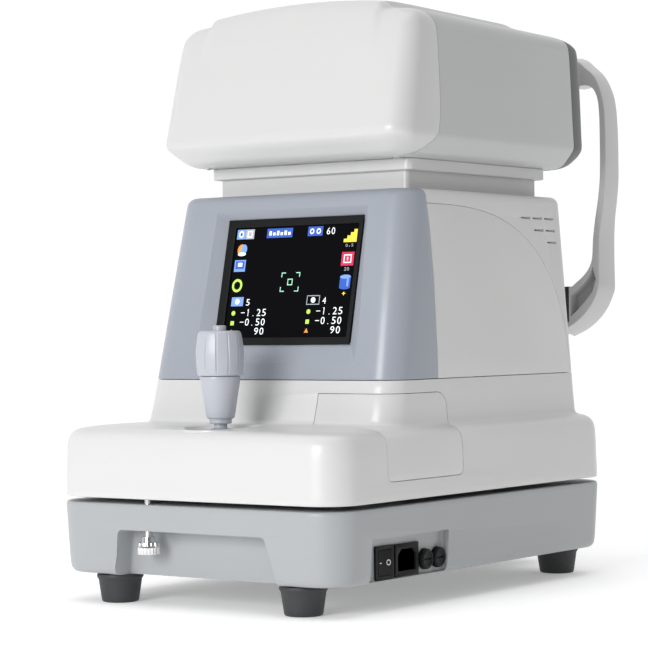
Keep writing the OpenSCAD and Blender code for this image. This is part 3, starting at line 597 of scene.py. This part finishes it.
door = copy(stage, "printer_cover_moulded")
boolean(door, door_prism("dz1", 0.35), "INTERSECT")
boolean(stage, door_prism("dz0", 0.0), "DIFFERENCE")
for o in (stage, door):
    bevel(o, 0.5, 2, 40)
    smooth(o, 40)
put(stage, "stage", "white_plastic", "stage_cover")
put(door, "printer_door", "white_plastic", "printer_cover")

# ---------------------------------------------------------------- tower

rows = [tower_ring(168.6, -0.4), tower_ring(169.2), tower_ring(200), tower_ring(240), tower_ring(280),
        tower_ring(300), tower_ring(307.5)]
for k in range(1, 9):
    a = PI / 2 * k / 8
    rows.append(tower_ring(307.5 + 6.5 * math.sin(a), -6.5 * (1 - math.cos(a))))
shell = loft("tower_shell", rows)
cut(shell, loft("h3", [tower_ring(160, -3), tower_ring(240, -3), tower_ring(308, -3.2), tower_ring(311, -6)]))
cut(shell, bar("neck_way", 300, 320, 92.4, -37.4, 156.4, 4.4, 4))

tilt = math.atan(TOWER_LEAN / TOWER_RISE)
face = Matrix.Translation(Vector((0, TOWER_FRONT, TOWER_FOOT)) * MM) @ Matrix.Rotation(PI / 2 - tilt, 4, "X")


def on_face(o):
    """Moves a body made flat on its back to the tower's leaning front."""
    o.data.transform(face)
    return o


bezel_edge = [(-40.5, 160), (-39.2, 191), (-38.9, 244), (-41.0, 283), (-43.9, 305), (-45.6, 330)]
front = copy(shell, "front_bezel_moulded")
boolean(front, prism_x("fz", [(-150, 160)] + bezel_edge + [(-150, 330)]), "INTERSECT")
backing = on_face(box_mesh("backing", (-90, 2, -11), (92, 142.5, -0.6)))
boolean(front, backing, "UNION")
pocket = on_face(hexa("pocket", [(-79, 7.2, 3), (86, 7.2, 3), (80, 138.3, 3), (-73.4, 138.3, 3)],
                      [(-62.2, 29, -8), (69.7, 29, -8), (69.7, 131.2, -8), (-62.2, 131.2, -8)], 1.2, 3))
cut(front, pocket, on_face(box_mesh("panel_way", (-58.4, 30.6, -14), (70.4, 128.4, -5))))
tidy(front, 0.00001, 0.15)
bevel(front, 0.9, 3, 16)
put(smooth(front, 32), "stage", "bezel_plastic", "front_bezel")


def rect_ring(name, outer, inner, section):
    """Rectangular frame: its section runs from the outer edge (0) to the inner edge (1)."""
    def corners(b):
        return [(b[0], b[2]), (b[1], b[2]), (b[1], b[3]), (b[0], b[3])]
    v = [Vector((a[0] + (b[0] - a[0]) * t, a[1] + (b[1] - a[1]) * t, z)) * MM
         for t, z in section for a, b in zip(corners(outer), corners(inner))]
    n = len(section)
    f = [(4 * i + k, 4 * i + (k + 1) % 4, 4 * ((i + 1) % n) + (k + 1) % 4, 4 * ((i + 1) % n) + k)
         for i in range(n) for k in range(4)]
    return new_mesh(name, v, f)


lcd_ring = on_face(rect_ring("lcd_frame_moulded", (-62, 69.5, 29.2, 131), (-54.4, 65.8, 35, 124.7),
                             [(0, -7.8), (0, -6.8), (0.04, -6.6), (0.92, -6.6), (1, -6.9), (1, -7.8)]))
put(lcd_ring, "stage", "black_plastic", "lcd_frame")
panel = on_face(box_mesh("lcd_panel_moulded", (-58, 31, -11), (70, 128, -8), 0.2, 1))
put(panel, "stage", slot_of["lcd_panel"], "lcd_panel")

seam = [(-36 + 197 * math.sin(t) ** (2 / 2.8), 139.3 + 163 * math.cos(t) ** (2 / 2.8))
        for t in np.linspace(0, PI / 2, 41)]
behind_bezel = [(260, 150), (260, 340)] + [(y + 0.4, z) for y, z in reversed(bezel_edge)]
behind_bezel += [(bezel_edge[0][0] + 0.4, 150)]
boolean(shell, prism_x("bz", behind_bezel), "INTERSECT")
rear = copy(shell, "rear_cover_moulded")
above_seam = [(-50, 340), (-50, seam[0][1] + 0.45)] + [(y + 0.3, z + 0.3) for y, z in seam[1:-1]]
above_seam += [(seam[-1][0] + 0.4, 139), (260, 139), (260, 340)]
boolean(rear, prism_x("rz", above_seam), "INTERSECT")
below_seam = [(-50, 140), (-50, seam[0][1])] + seam[1:-1] + [(seam[-1][0], 140)]
boolean(shell, prism_x("sz", below_seam), "INTERSECT")
# scooped vents: each slot is narrow and deep at its front end, wider and shallow at its rear end
VENT_LENGTH = 14.5
for row in range(3):
    for i in range(row, 3):
        y, z = 94.5 + 18.5 * i + 1.5 * row, 293.8 - 9.7 * row
        wall, y_end = tower(z)[0], y + VENT_LENGTH
        for side in (-1, 1):
            x0, lip = side * (wall + 0.6), side * (wall + 0.3)
            x1, shallow = side * (wall - 5.5), side * (wall - 1.2)
            near = [(x0, y, z + 1.0), (lip, y_end, z + 0.4), (lip, y_end, z + 2.8), (x0, y, z + 2.0)]
            far = [(x1, y, z + 1.0), (shallow, y_end, z + 0.4), (shallow, y_end, z + 2.8), (x1, y, z + 2.0)]
            cut(rear, hexa("scoop", near, far))
for i in range(9):
    cut(rear, box_mesh("grille", (-60, 140, 230 + 8 * i), (60, 190, 233 + 8 * i), 1.2, 3))
for o in (shell, rear):
    tidy(o, 0.00001, 0.15)
    bevel(o, 0.45, 2, 40)
    smooth(o, 40)
shell.name = "side_cover_moulded"
put(shell, "stage", "white_plastic", "side_cover")
put(rear, "stage", "white_plastic", "rear_cover")

# ---------------------------------------------------------------- neck and collar


def tube(name, hw, y0, y1, z0, z1, r, wall, lip=0.6):
    """Upright sleeve with round corners, open at both ends, its outer edges broken by the lip."""
    o = levels_loft(name, [(z0, hw - lip, y0 + lip, y1 - lip, r), (z0 + lip, hw, y0, y1, r),
                           (z1 - lip, hw, y0, y1, r), (z1, hw - lip, y0 + lip, y1 - lip, r)], 1, nx=6, ny=6)
    return cut(o, bar("h", z0 - 2, z1 + 2, hw - wall, y0 + wall, y1 - wall, r - wall, 6))


neck = tube("neck_cover_moulded", 92, -37, 156, 292.6, 350, 4, 2.5)
neck_floor = box_mesh("nf", (-90.5, -35.5, 290), (90.5, 154.5, 292.6), 0.4, 1)
for x in (-50, 0, 50):
    cut(neck_floor, turned("way", [(7, 280), (7, 300)], (x, 60, 0), n=32))
boolean(neck, neck_floor, "UNION")
put(smooth(neck, 35), "stage", "white_plastic", "neck_cover")
collar = tube("head_collar_moulded", 98, -42, 162, 329, 338.3, 6, 4.5, 0.7)
put(smooth(collar, 35), "head", "white_plastic", "head_collar")

# ---------------------------------------------------------------- head

head_rows = [
    (338.3, 101.0, -58.0, 180, 20), (338.9, 104.5, -63.5, 186.5, 22), (341.0, 109.0, -69.0, 193.5, 24),
    (346.0, 113.6, -75.2, 199, 24), (351.5, 118.0, -81.4, 201.8, 24.5), (355.0, 119.7, -83.7, 202.3, 24.5),
    (358.5, 120.0, -84.0, 202.4, 24.5), (363.0, 119.7, -83.0, 202.4, 24.3), (400, 118.0, -73.4, 201.5, 22),
    (430, 116.5, -65.4, 199.5, 20), (438, 115.6, -63.0, 198.0, 19), (443.5, 113.9, -60.6, 194.0, 18),
    (447.6, 111.0, -57.8, 189.0, 17), (450.3, 107.2, -55.0, 183.5, 16), (451.9, 103.0, -52.3, 177.5, 16),
    (452.6, 98.5, -49.6, 171, 16),
]
cap_rows = [(453.0, 95, -47.5, 166, 15), (453.4, 92, -45.5, 161, 14), (453.8, 89, -43.5, 156, 14),
            (454.1, 86, -41.5, 151, 13), (454.4, 83, -39.5, 146, 13), (454.6, 80, -37.5, 141, 12),
            (454.8, 76, -35, 135, 12), (454.9, 66, -30, 120, 11), (454.9, 48, -20, 105, 10),
            (454.9, 28, -5, 90, 8), (454.9, 8, 15, 75, 6)]


def crown(x, y, z):
    """Lifts the middle of the head's top into a raised, arched panel that runs down its front."""
    band = step((87.0 - abs(x)) / 8.0)
    along = 1 - step((y - 120) / 60)
    t = step((z - 437) / 14.0)
    lift = band * along * (5.7 + 5.0 * max(0.0, 1 - (x / 79.0) ** 2)) * t
    fall = 3.0 * max(0.0, (y + 11) / 186.0) * t
    out = band * step((z - 408) / 34.0) * (1.7 if y < -30 else 0.0)
    return (x, y - out * step((-30 - y) / 12), z + lift - fall)


def head_rings(inset, rows):
    """Rings of the head, drawn in by the inset; its front corners are tighter than its rear ones."""
    rings = []
    for z, hw, y0, y1, r in rows:
        front_r, rear_r = max(0.78 * r - inset, 2), max(r - inset, 2)
        ring = outline(-hw + inset, hw - inset, y0 + inset, y1 - inset, front_r, 10, 72, 28, rear=rear_r)
        rings.append([crown(x, y, z) for x, y in ring])
    return rings


head = loft("head_shell", head_rings(0, through(head_rows, 3) + cap_rows))
inner = [(r[0] + (3 if r[0] < 380 else -3), *r[1:]) for r in head_rows[3:] + cap_rows[::3]]
inner = [(341.3, 106, -66, 188, 22)] + [r for r in inner if r[0] > 345]
cut(head, loft("h5", head_rings(3.2, inner)))
cut(head, bar("neck_way2", 330, 344, 93.5, -38.5, 157.5, 5, 4))
cut(head, turned("window_way", [(36, 190), (36, 220)], (0, 0, 390), "y", 96))
front_seam = [(-66, 325), (-62, 334), (-58.5, 337.6), (-50, 341.6), (-43.5, 345.5), (-38, 351), (-34.2, 358),
              (-31.6, 368), (-30.3, 380), (-30, 392), (-30, 436), (-30.6, 441), (-32.6, 445.5), (-36, 449.3),
              (-40, 452.3), (-43, 456), (-44, 470)]
before_seam = [(y - 0.3, z) for y, z in front_seam] + [(-160, 470), (-160, 325)]
behind_seam = [(y + 0.2, z) for y, z in front_seam] + [(170.9, 470), (170.9, 325)]
cover = copy(head, "head_front_cover_moulded")
boolean(cover, prism_x("z1", before_seam), "INTERSECT")
cap = copy(head, "head_rear_cap_moulded")
boolean(cap, box_mesh("z2", (-WIDE, 171.5, 320), (WIDE, 260, 480)), "INTERSECT")
boolean(head, prism_x("z3", behind_seam), "INTERSECT")
head.name = "head_main_cover_moulded"
# the rear cap takes head_rear_plastic, whose dark grey is painted shade of a cap that faces away from the
# light
for o, node in ((cover, "head_front_cover"), (head, "head_main_cover"), (cap, "head_rear_cap")):
    tidy(o, 0.00001, 0.1)
    bevel(o, 0.9, 3, 42)
    put(smooth(o, 40), "head", slot_of[node], node)

# two screws up into the head's underside
screw_profile = [(0.3, 336.9), (1.6, 337.0), (2.6, 337.5), (3.0, 338.2), (3.0, 339.0), (0.3, 339.0)]
for i, x in enumerate((-92, 92)):
    place = (x, -51.8, 0)
    screw = turned("head_screw_%d" % i, screw_profile, place, n=40)
    for angle in (20, 110):
        slot = box_mesh("cross", (-1.7, -0.3, 336), (1.7, 0.3, 337.7))
        turn = Matrix.Rotation(math.radians(angle), 4, "Z")
        slot.data.transform(Matrix.Translation(Vector(place) * MM) @ turn)
        cut(screw, slot)
    put(smooth(screw, 40), "head", "bright_steel")

# ---------------------------------------------------------------- face rest

arm_rows = [  # inner edge x, z; outer edge in front x, z; outer edge behind x, z
    (78, 413.5, 78, 439.5, 78, 441), (84, 414.2, 85, 436, 84, 438), (90, 415.2, 92, 430, 91, 432),
    (96.5, 413.6, 100.3, 422.6, 99.5, 424), (101.4, 408.0, 105.4, 412.6, 105.8, 413.2),
    (104.0, 399.2, 108.7, 401.2, 109.6, 401.5), (105.0, 385, 110.6, 386, 111.4, 386),
    (105.2, 362, 111.0, 362, 112.2, 362), (104.9, 338, 110.8, 338, 112.2, 338),
    (103.0, 318, 109.6, 318, 110.8, 319), (99.4, 297, 105.9, 297, 108.2, 299),
    (97.2, 280, 103.6, 279, 107.2, 280), (96.3, 266, 103.2, 262, 107.1, 261.5),
    (93.4, 257.5, 103.0, 245.4, 107.4, 241.0), (87.4, 250.0, 99.6, 232.6, 103.2, 228.0),
    (80.5, 244.6, 90.8, 219.6, 93.4, 213.9), (74.2, 240.6, 78.4, 209.0, 79.6, 203.4),
    (66.0, 240.6, 66.0, 202.6, 66.0, 197.2),
]
pocket_line = [(96.5, 258), (99.6, 247), (96.6, 237), (90, 229), (80, 219.5), (74, 214.5), (74, 233.0),
               (81, 238.0), (88, 243.8), (93.5, 250.5)]
for side, tag in ((1, "right"), (-1, "left")):
    verts, faces = [], []
    stations = through(arm_rows, 5)
    for xi, zi, xo, zo, xb, zb in stations:
        for x, y, z in ((xi, 241, zi), (xo, 241, zo), (xb, 262, zb), (xi + 0.6, 262, zi)):
            verts.append(Vector((side * x, y, z)) * MM)
    n = len(stations)
    for k in range(n - 1):
        for i in range(4):
            faces.append((4 * k + i, 4 * k + (i + 1) % 4, 4 * k + 4 + (i + 1) % 4, 4 * k + 4 + i))
    faces += [(0, 1, 2, 3), (4 * n - 1, 4 * n - 2, 4 * n - 3, 4 * n - 4)]
    arm = new_mesh("rest_arm_" + tag, verts, faces)
    cut(arm, prism("pocket_cut", [(side * x, 230, z) for x, z in pocket_line],
                   [(side * x, 255, z) for x, z in pocket_line]))
    tidy(arm, 0.00001, 0.1)
    bevel(arm, 1.6, 4, 36)
    put(smooth(arm, 38), "base", "white_plastic", *(["rest_arms"] if side == 1 else []))

# forehead pad: a soft strip, crowned towards the forehead and rounded at its ends
PAD_CENTRE_Y, PAD_RADIUS, PAD_DEPTH = 503, 253.7, 7.6
PAD_MIDDLE_Z, PAD_HALF_HEIGHT = 426, 10.9
pad_verts, pad_faces = [], []
na, nz = 60, 22  # steps along the pad and up it
for crowned in (0, 1):  # the flat back, then the crowned face
    for i in range(na + 1):
        u = -1 + 2 * i / na
        a = u * math.asin(52 / 250.0)
        end = max(0.0, 1 - abs(u) ** 8) ** 0.5
        for j in range(nz + 1):
            v = -1 + 2 * j / nz
            edge = max(0.0, 1 - abs(v) ** 3.2) ** 0.55 * end
            r = PAD_RADIUS - (PAD_DEPTH * edge if crowned else 0.0)
            z = PAD_MIDDLE_Z + PAD_HALF_HEIGHT * v * (0.85 + 0.15 * end)
            pad_verts.append(Vector((r * math.sin(a), PAD_CENTRE_Y - r * math.cos(a), z)) * MM)
stride = (na + 1) * (nz + 1)
for crowned in (0, 1):
    for i in range(na):
        for j in range(nz):
            first = crowned * stride + i * (nz + 1) + j
            quad = [first, first + nz + 1, first + nz + 2, first + 1]
            pad_faces.append(tuple(quad if crowned else reversed(quad)))
border = [(i * (nz + 1), (i + 1) * (nz + 1)) for i in range(na)]
border += [(na * (nz + 1) + j, na * (nz + 1) + j + 1) for j in range(nz)]
border += [((i + 1) * (nz + 1) + nz, i * (nz + 1) + nz) for i in range(na)]
border += [(j + 1, j) for j in range(nz)]
pad_faces += [(b, a, a + stride, b + stride) for a, b in border]
pad = new_mesh("forehead_pad_soft", pad_verts, pad_faces)
smooth(pad, 60)
put(pad, "base", "pad_rubber", "forehead_pad")

# ---------------------------------------------------------------- joystick


FLUTES = 12


def fluted(r, z, a):
    """Flat flutes round the grip, parted by grooves that fade at its ends; inner rings stay round."""
    if r < 10:
        return r
    k = step((z - 174) / 3) * (1 - step((z - 203) / 4))
    t = (a * FLUTES / (2 * PI)) % 1.0
    flat = math.cos(PI / FLUTES) / math.cos((t - 0.5) * 2 * PI / FLUTES)
    groove = step(1 - min(t, 1 - t) / 0.085)
    return r * (1 + (flat - 1) * 0.55 * k) - 0.75 * groove * k


grip_profile = [(3.0, 174.5), (14.6, 174.5), (15.6, 173.4), (16.4, 173.2), (17.0, 174.0), (17.4, 176),
                (17.9, 180), (18.25, 185), (18.35, 189), (18.2, 193), (17.8, 197), (17.2, 201), (16.5, 204.2),
                (16.1, 205.4), (15.4, 206.3), (14.3, 206.8), (12.5, 206.9), (5.9, 206.9), (5.4, 206.6),
                (5.3, 206.0), (5.3, 202), (3.0, 202)]
grip = turned("grip_ring_moulded", grip_profile, JOYSTICK, n=360, shape=fluted)
cut(grip, turned("grip_bore", [(4.05, 170), (4.05, 210)], JOYSTICK, n=96))
put(smooth(grip, 50), "ring", "joystick_plastic", "grip_ring")
dome_in = [(r, 90 + math.sqrt(42 ** 2 - r * r)) for r in np.linspace(4.05, 24.6, 14)]
dome_out = [(r, 90 + math.sqrt(44 ** 2 - r * r)) for r in np.linspace(25.1, 6.4, 16)]
cone = turned("joystick_cone_moulded", dome_in + dome_out + [
    (5.6, 133.8), (5.0, 134.2), (5.0, 137), (7.9, 137.1), (8.5, 137.6), (8.5, 140.6), (9.6, 140.9),
    (10.4, 141.4), (10.8, 142.4), (11.4, 146), (12.6, 154), (13.9, 162), (15.0, 169), (15.4, 172),
    (15.2, 172.6), (14.6, 172.8), (4.05, 172.8)], JOYSTICK, n=96)
put(smooth(cone, 40), "lever", "joystick_plastic", "joystick_cone")
button = turned("measure_button_moulded", [
    (0.3, 193), (2, 193), (2, 205), (4.95, 206.2), (5, 206.6), (5, 209.9), (4.7, 210.6), (4.1, 210.9),
    (3.0, 210.95), (0.3, 210.8)], JOYSTICK, n=64)
put(smooth(button, 40), "button", "joystick_plastic", "measure_button")

# ---------------------------------------------------------------- display

# depths of the display's printed layers in the tower's face, from the lowest to the highest
GROUND, GROUND_UPPER, MARK, MARK_UPPER, TOP = -7.86, -7.85, -7.84, -7.83, -7.82
graphics = {}


def add_flat(colour, pts, z=GROUND):
    """Flat outline on the display, in millimetres across and up the tower's face."""
    verts = [Vector((x, y, z)) * MM for x, y in pts]
    graphics.setdefault(colour, []).append((verts, [tuple(range(len(pts)))]))


def rect(colour, x0, y0, x1, y1, z=GROUND):
    add_flat(colour, [(x0, y0), (x1, y0), (x1, y1), (x0, y1)], z)


def frame_line(colour, x0, y0, x1, y1, w):
    """Outlined rectangle with a line of the given width."""
    rect(colour, x0, y0, x1, y0 + w, MARK)
    rect(colour, x0, y1 - w, x1, y1, MARK)
    rect(colour, x0, y0 + w, x0 + w, y1 - w, MARK)
    rect(colour, x1 - w, y0 + w, x1, y1 - w, MARK)


def ellipse(colour, x, y, a, b, z=GROUND):
    turns = [2 * PI * i / 32 for i in range(32)]
    add_flat(colour, [(x + a * math.cos(t), y + b * math.sin(t)) for t in turns], z)


def write(colour, text, x0, y0, x1, y1):
    """A digit, fitted to a box."""
    cu = bpy.data.curves.new("t", "FONT")
    cu.body = text
    cu.size = 0.01
    cu.resolution_u = 3
    o = link(bpy.data.objects.new("t", cu))
    dg = bpy.context.evaluated_depsgraph_get()
    me = bpy.data.meshes.new_from_object(o.evaluated_get(dg))
    co = np.array([v.co for v in me.vertices])
    lo, hi = co.min(0), co.max(0)
    sx, sy = (x1 - x0) / max(hi[0] - lo[0], 1e-9), (y1 - y0) / max(hi[1] - lo[1], 1e-9)
    v = [Vector((x0 + (p[0] - lo[0]) * sx, y0 + (p[1] - lo[1]) * sy, MARK)) * MM for p in co]
    graphics.setdefault(colour, []).append((v, [tuple(p.vertices) for p in me.polygons]))
    bpy.data.objects.remove(o)
    bpy.data.meshes.remove(me)


def digits(colour, text, x0, y0, x1, y1):
    """Evenly spaced characters."""
    w = (x1 - x0) / len(text)
    for i, ch in enumerate(text):
        a, b = x0 + i * w + 0.14 * w, x0 + (i + 1) * w - 0.14 * w
        mid_x, mid_y = (a + b) / 2, (y0 + y1) / 2
        if ch == ".":
            rect(colour, mid_x - 0.35, y0, mid_x + 0.35, y0 + 0.7, MARK)
        elif ch == "-":
            rect(colour, a, mid_y - 0.3, b, mid_y + 0.3, MARK)
        elif ch == "1":
            rect(colour, mid_x - 0.3, y0, mid_x + 0.35, y1, MARK)
            flag = [(mid_x - 0.3, y1), (mid_x - 1.1, y1 - 1.2), (mid_x - 0.3, y1 - 0.9)]
            add_flat(colour, flag, MARK_UPPER)
        else:
            write(colour, ch, a, y0, b, y1)


# mode chips along the top, with plain symbols
rect("lit_sky", -53, 115.4, -44.6, 123.3)
rect("lit_grey", -44.4, 115.4, -36, 123.3)
ellipse("lit_white", -48.8, 119.4, 2.4, 2.9, MARK)
ellipse("lit_blue", -48.8, 119.4, 1.2, 1.6, TOP)
frame_line("lit_white", -42.6, 116.8, -37.8, 121.9, 0.8)
rect("lit_blue", -23.2, 115.6, 1.9, 123.2)
for i in range(6):
    rect("lit_white", -21 + 3.7 * i, 117.6, -18.6 + 3.7 * i, 121.2 - (i % 2) * 1.2, MARK)
rect("lit_blue", 16.9, 115.9, 31.1, 123.5)
ellipse("lit_white", 20.8, 119.7, 2.1, 2.3, MARK)
ellipse("lit_white", 27.2, 119.7, 2.1, 2.3, MARK)
ellipse("lit_blue", 20.8, 119.7, 1.1, 1.3, TOP)
ellipse("lit_blue", 27.2, 119.7, 1.1, 1.3, TOP)
digits("lit_white", "60", 34.4, 116.7, 43.5, 122.2)
# left column of icons
ellipse("lit_orange", -46.6, 106.6, 4.2, 4.6)
ellipse("lit_sky", -44.4, 107.2, 3.0, 3.9, MARK)
ellipse("lit_white", -46.0, 103.2, 4.0, 1.6, TOP)
rect("lit_sky", -52, 88.9, -41, 98.4)
rect("lit_blue", -50.8, 91.2, -42.2, 97.4, MARK)
rect("lit_white", -48.6, 93, -44.2, 96.2, TOP)
ellipse("lit_lime", -46.8, 77.6, 5.1, 5.4)
ellipse("screen_glass", -46.8, 77.6, 3.1, 3.3, MARK)
# right column of icons
for i in range(4):
    rect("lit_yellow", 52.2 + 3 * i, 110, 55.3 + 3 * i, 112.7 + 2.5 * i)
digits("lit_grey", "0.5", 54.2, 106.4, 62.2, 108.6)
rect("lit_red", 52, 91.3, 63.8, 102.2)
frame_line("lit_white", 54.2, 93.4, 61.6, 100.2, 0.9)
rect("lit_white", 57.4, 95.4, 58.4, 98.2, MARK)
digits("lit_grey", "20", 55.4, 87.4, 60.6, 90.0)
rect("lit_blue", 53, 74, 63, 82.8)
ellipse("lit_sky", 58, 82.6, 5, 1.6, MARK)
ellipse("lit_blue", 58, 74.2, 5, 1.6, GROUND_UPPER)
rect("lit_sky", 59.6, 75, 61.4, 81.6, MARK)
add_flat("lit_yellow", [(58, 71.2), (57.4, 69.8), (56, 69.4), (57.4, 69), (58, 67.6), (58.6, 69), (60, 69.4),
                        (58.6, 69.8)])
# aiming brackets and mark
for sx in (-1, 1):
    for sy in (-1, 1):
        cx, cy = 5.2 + sx * 9, 79.5 + sy * 7.7
        for width, height, z in ((4, 0.7, GROUND), (0.7, 3.8, GROUND_UPPER)):
            x, y = cx - sx * width, cy - sy * height
            rect("lit_mint", min(cx, x), min(cy, y), max(cx, x), max(cy, y), z)
frame_line("lit_mint", 2.7, 76.9, 7.6, 82.1, 0.7)
# readings for the two eyes
rect("lit_sky", -50.4, 60.8, -38.6, 68.1)
ellipse("lit_white", -44.5, 64.5, 2.2, 2.2, MARK)
digits("lit_white", "5", -36.2, 61.2, -31.4, 66.4)
frame_line("lit_grey", 23.6, 61, 36, 68.4, 0.6)
ellipse("lit_white", 29.8, 64.7, 2.2, 2.2, MARK)
digits("lit_white", "4", 38.2, 61.6, 42.8, 66.8)
for dx, dy in ((0, 0), (73.6, 0.5)):
    ellipse("lit_lime", -47 + dx, 55.1 + dy, 1.9, 1.9)
    digits("lit_white", "-1.25", -40.2 + dx, 52.6 + dy, -14 + dx, 58.3 + dy)
    rect("lit_lime", -48.7 + dx, 45.4 + dy, -45.3 + dx, 48.8 + dy)
    digits("lit_white", "-0.50", -40.2 + dx, 45 + dy, -14 + dx, 50.7 + dy)
    add_flat("lit_orange", [(-49 + dx, 38.4 + dy), (-45 + dx, 38.4 + dy), (-47 + dx, 42 + dy)])
    digits("lit_white", "90", -24.9 + dx, 37.6 + dy, -14.2 + dx, 43.3 + dy)
for colour, parts in graphics.items():
    verts, faces = [], []
    for v, f in parts:
        faces += [tuple(i + len(verts) for i in q) for q in f]
        verts += v
    me = bpy.data.meshes.new("display_" + colour)
    me.from_pydata([tuple(v) for v in verts], [], faces)
    me.update()
    o = on_face(link(bpy.data.objects.new("display_" + colour, me)))
    put(o, "stage", "screen_glass", mat=M[colour])

# ---------------------------------------------------------------- floor, light, camera

FLOOR_RADIUS, FLOOR_SIDES = 1.25, 96
rim = [2 * PI * i / FLOOR_SIDES for i in range(FLOOR_SIDES)]
floor = new_mesh("floor", [(FLOOR_RADIUS * math.cos(a), FLOOR_RADIUS * math.sin(a), 0) for a in rim],
                 [tuple(range(FLOOR_SIDES))])
paper = material("floor_paper", (0.95, 0.95, 0.95), 0.8, grain=300.0, tint=0.004, spec=0.1)
paper.node_tree.nodes["Principled BSDF"].inputs["Emission Color"].default_value = (1, 1, 1, 1)
paper.node_tree.nodes["Principled BSDF"].inputs["Emission Strength"].default_value = 0.25
floor.data.materials.append(paper)

world = bpy.data.worlds.new("studio")
bpy.context.scene.world = world
world.use_nodes = True
wt = world.node_tree
way = wt.nodes.new("ShaderNodeTexCoord")
along = wt.nodes.new("ShaderNodeVectorMath")
along.operation = "DOT_PRODUCT"
along.inputs[1].default_value = (-0.62, 0.78, 0.0)
fall = wt.nodes.new("ShaderNodeMapRange")
fall.inputs["From Min"].default_value = -1.0
fall.inputs["From Max"].default_value = 0.85
fall.inputs["To Min"].default_value = 0.16
fall.inputs["To Max"].default_value = 1.03
wt.links.new(way.outputs["Generated"], along.inputs[0])
wt.links.new(along.outputs["Value"], fall.inputs["Value"])
wt.links.new(fall.outputs["Result"], wt.nodes["Background"].inputs["Strength"])
wt.nodes["Background"].inputs["Color"].default_value = (1.0, 1.0, 1.0, 1)


def lamp(name, at, to, size, power):
    """Rectangular lamp at one place, aimed at another."""
    li = bpy.data.lights.new(name, "AREA")
    li.shape = "RECTANGLE"
    li.size, li.size_y = size
    li.energy = power
    o = link(bpy.data.objects.new(name, li))
    o.location = at
    o.rotation_euler = (Vector(to) - Vector(at)).to_track_quat("-Z", "Y").to_euler()
    return o


lamp("key", (0.05, -2.0, 0.62), (0, 0, 0.25), (0.8, 0.8), 24)
lamp("top", (0.2, -0.2, 3.0), (0, 0, 0.2), (2.2, 2.2), 20)

cam = bpy.data.cameras.new("camera")
cam.sensor_width = 36
cam.lens = cam.sensor_width * 2344 / 648  # the ratio is the photo's focal length over its width
cam.clip_end = 50
camera = link(bpy.data.objects.new("camera_main", cam))
yaw, roll = math.radians(35.99), math.radians(-0.70)
ahead = Vector((-math.sin(yaw), math.cos(yaw), 0))
level = Vector((math.cos(yaw), math.sin(yaw), 0))
up = Vector((0, 0, 1))
right_side = level * math.cos(roll) + up * math.sin(roll)
top_side = up * math.cos(roll) - level * math.sin(roll)
facing = Matrix((right_side, top_side, -ahead)).transposed().to_4x4()
camera.matrix_world = Matrix.Translation(Vector((1.1003, -1.5371, 0.2114))) @ facing
bpy.context.scene.camera = camera
bpy.context.scene.view_settings.view_transform = "Standard"
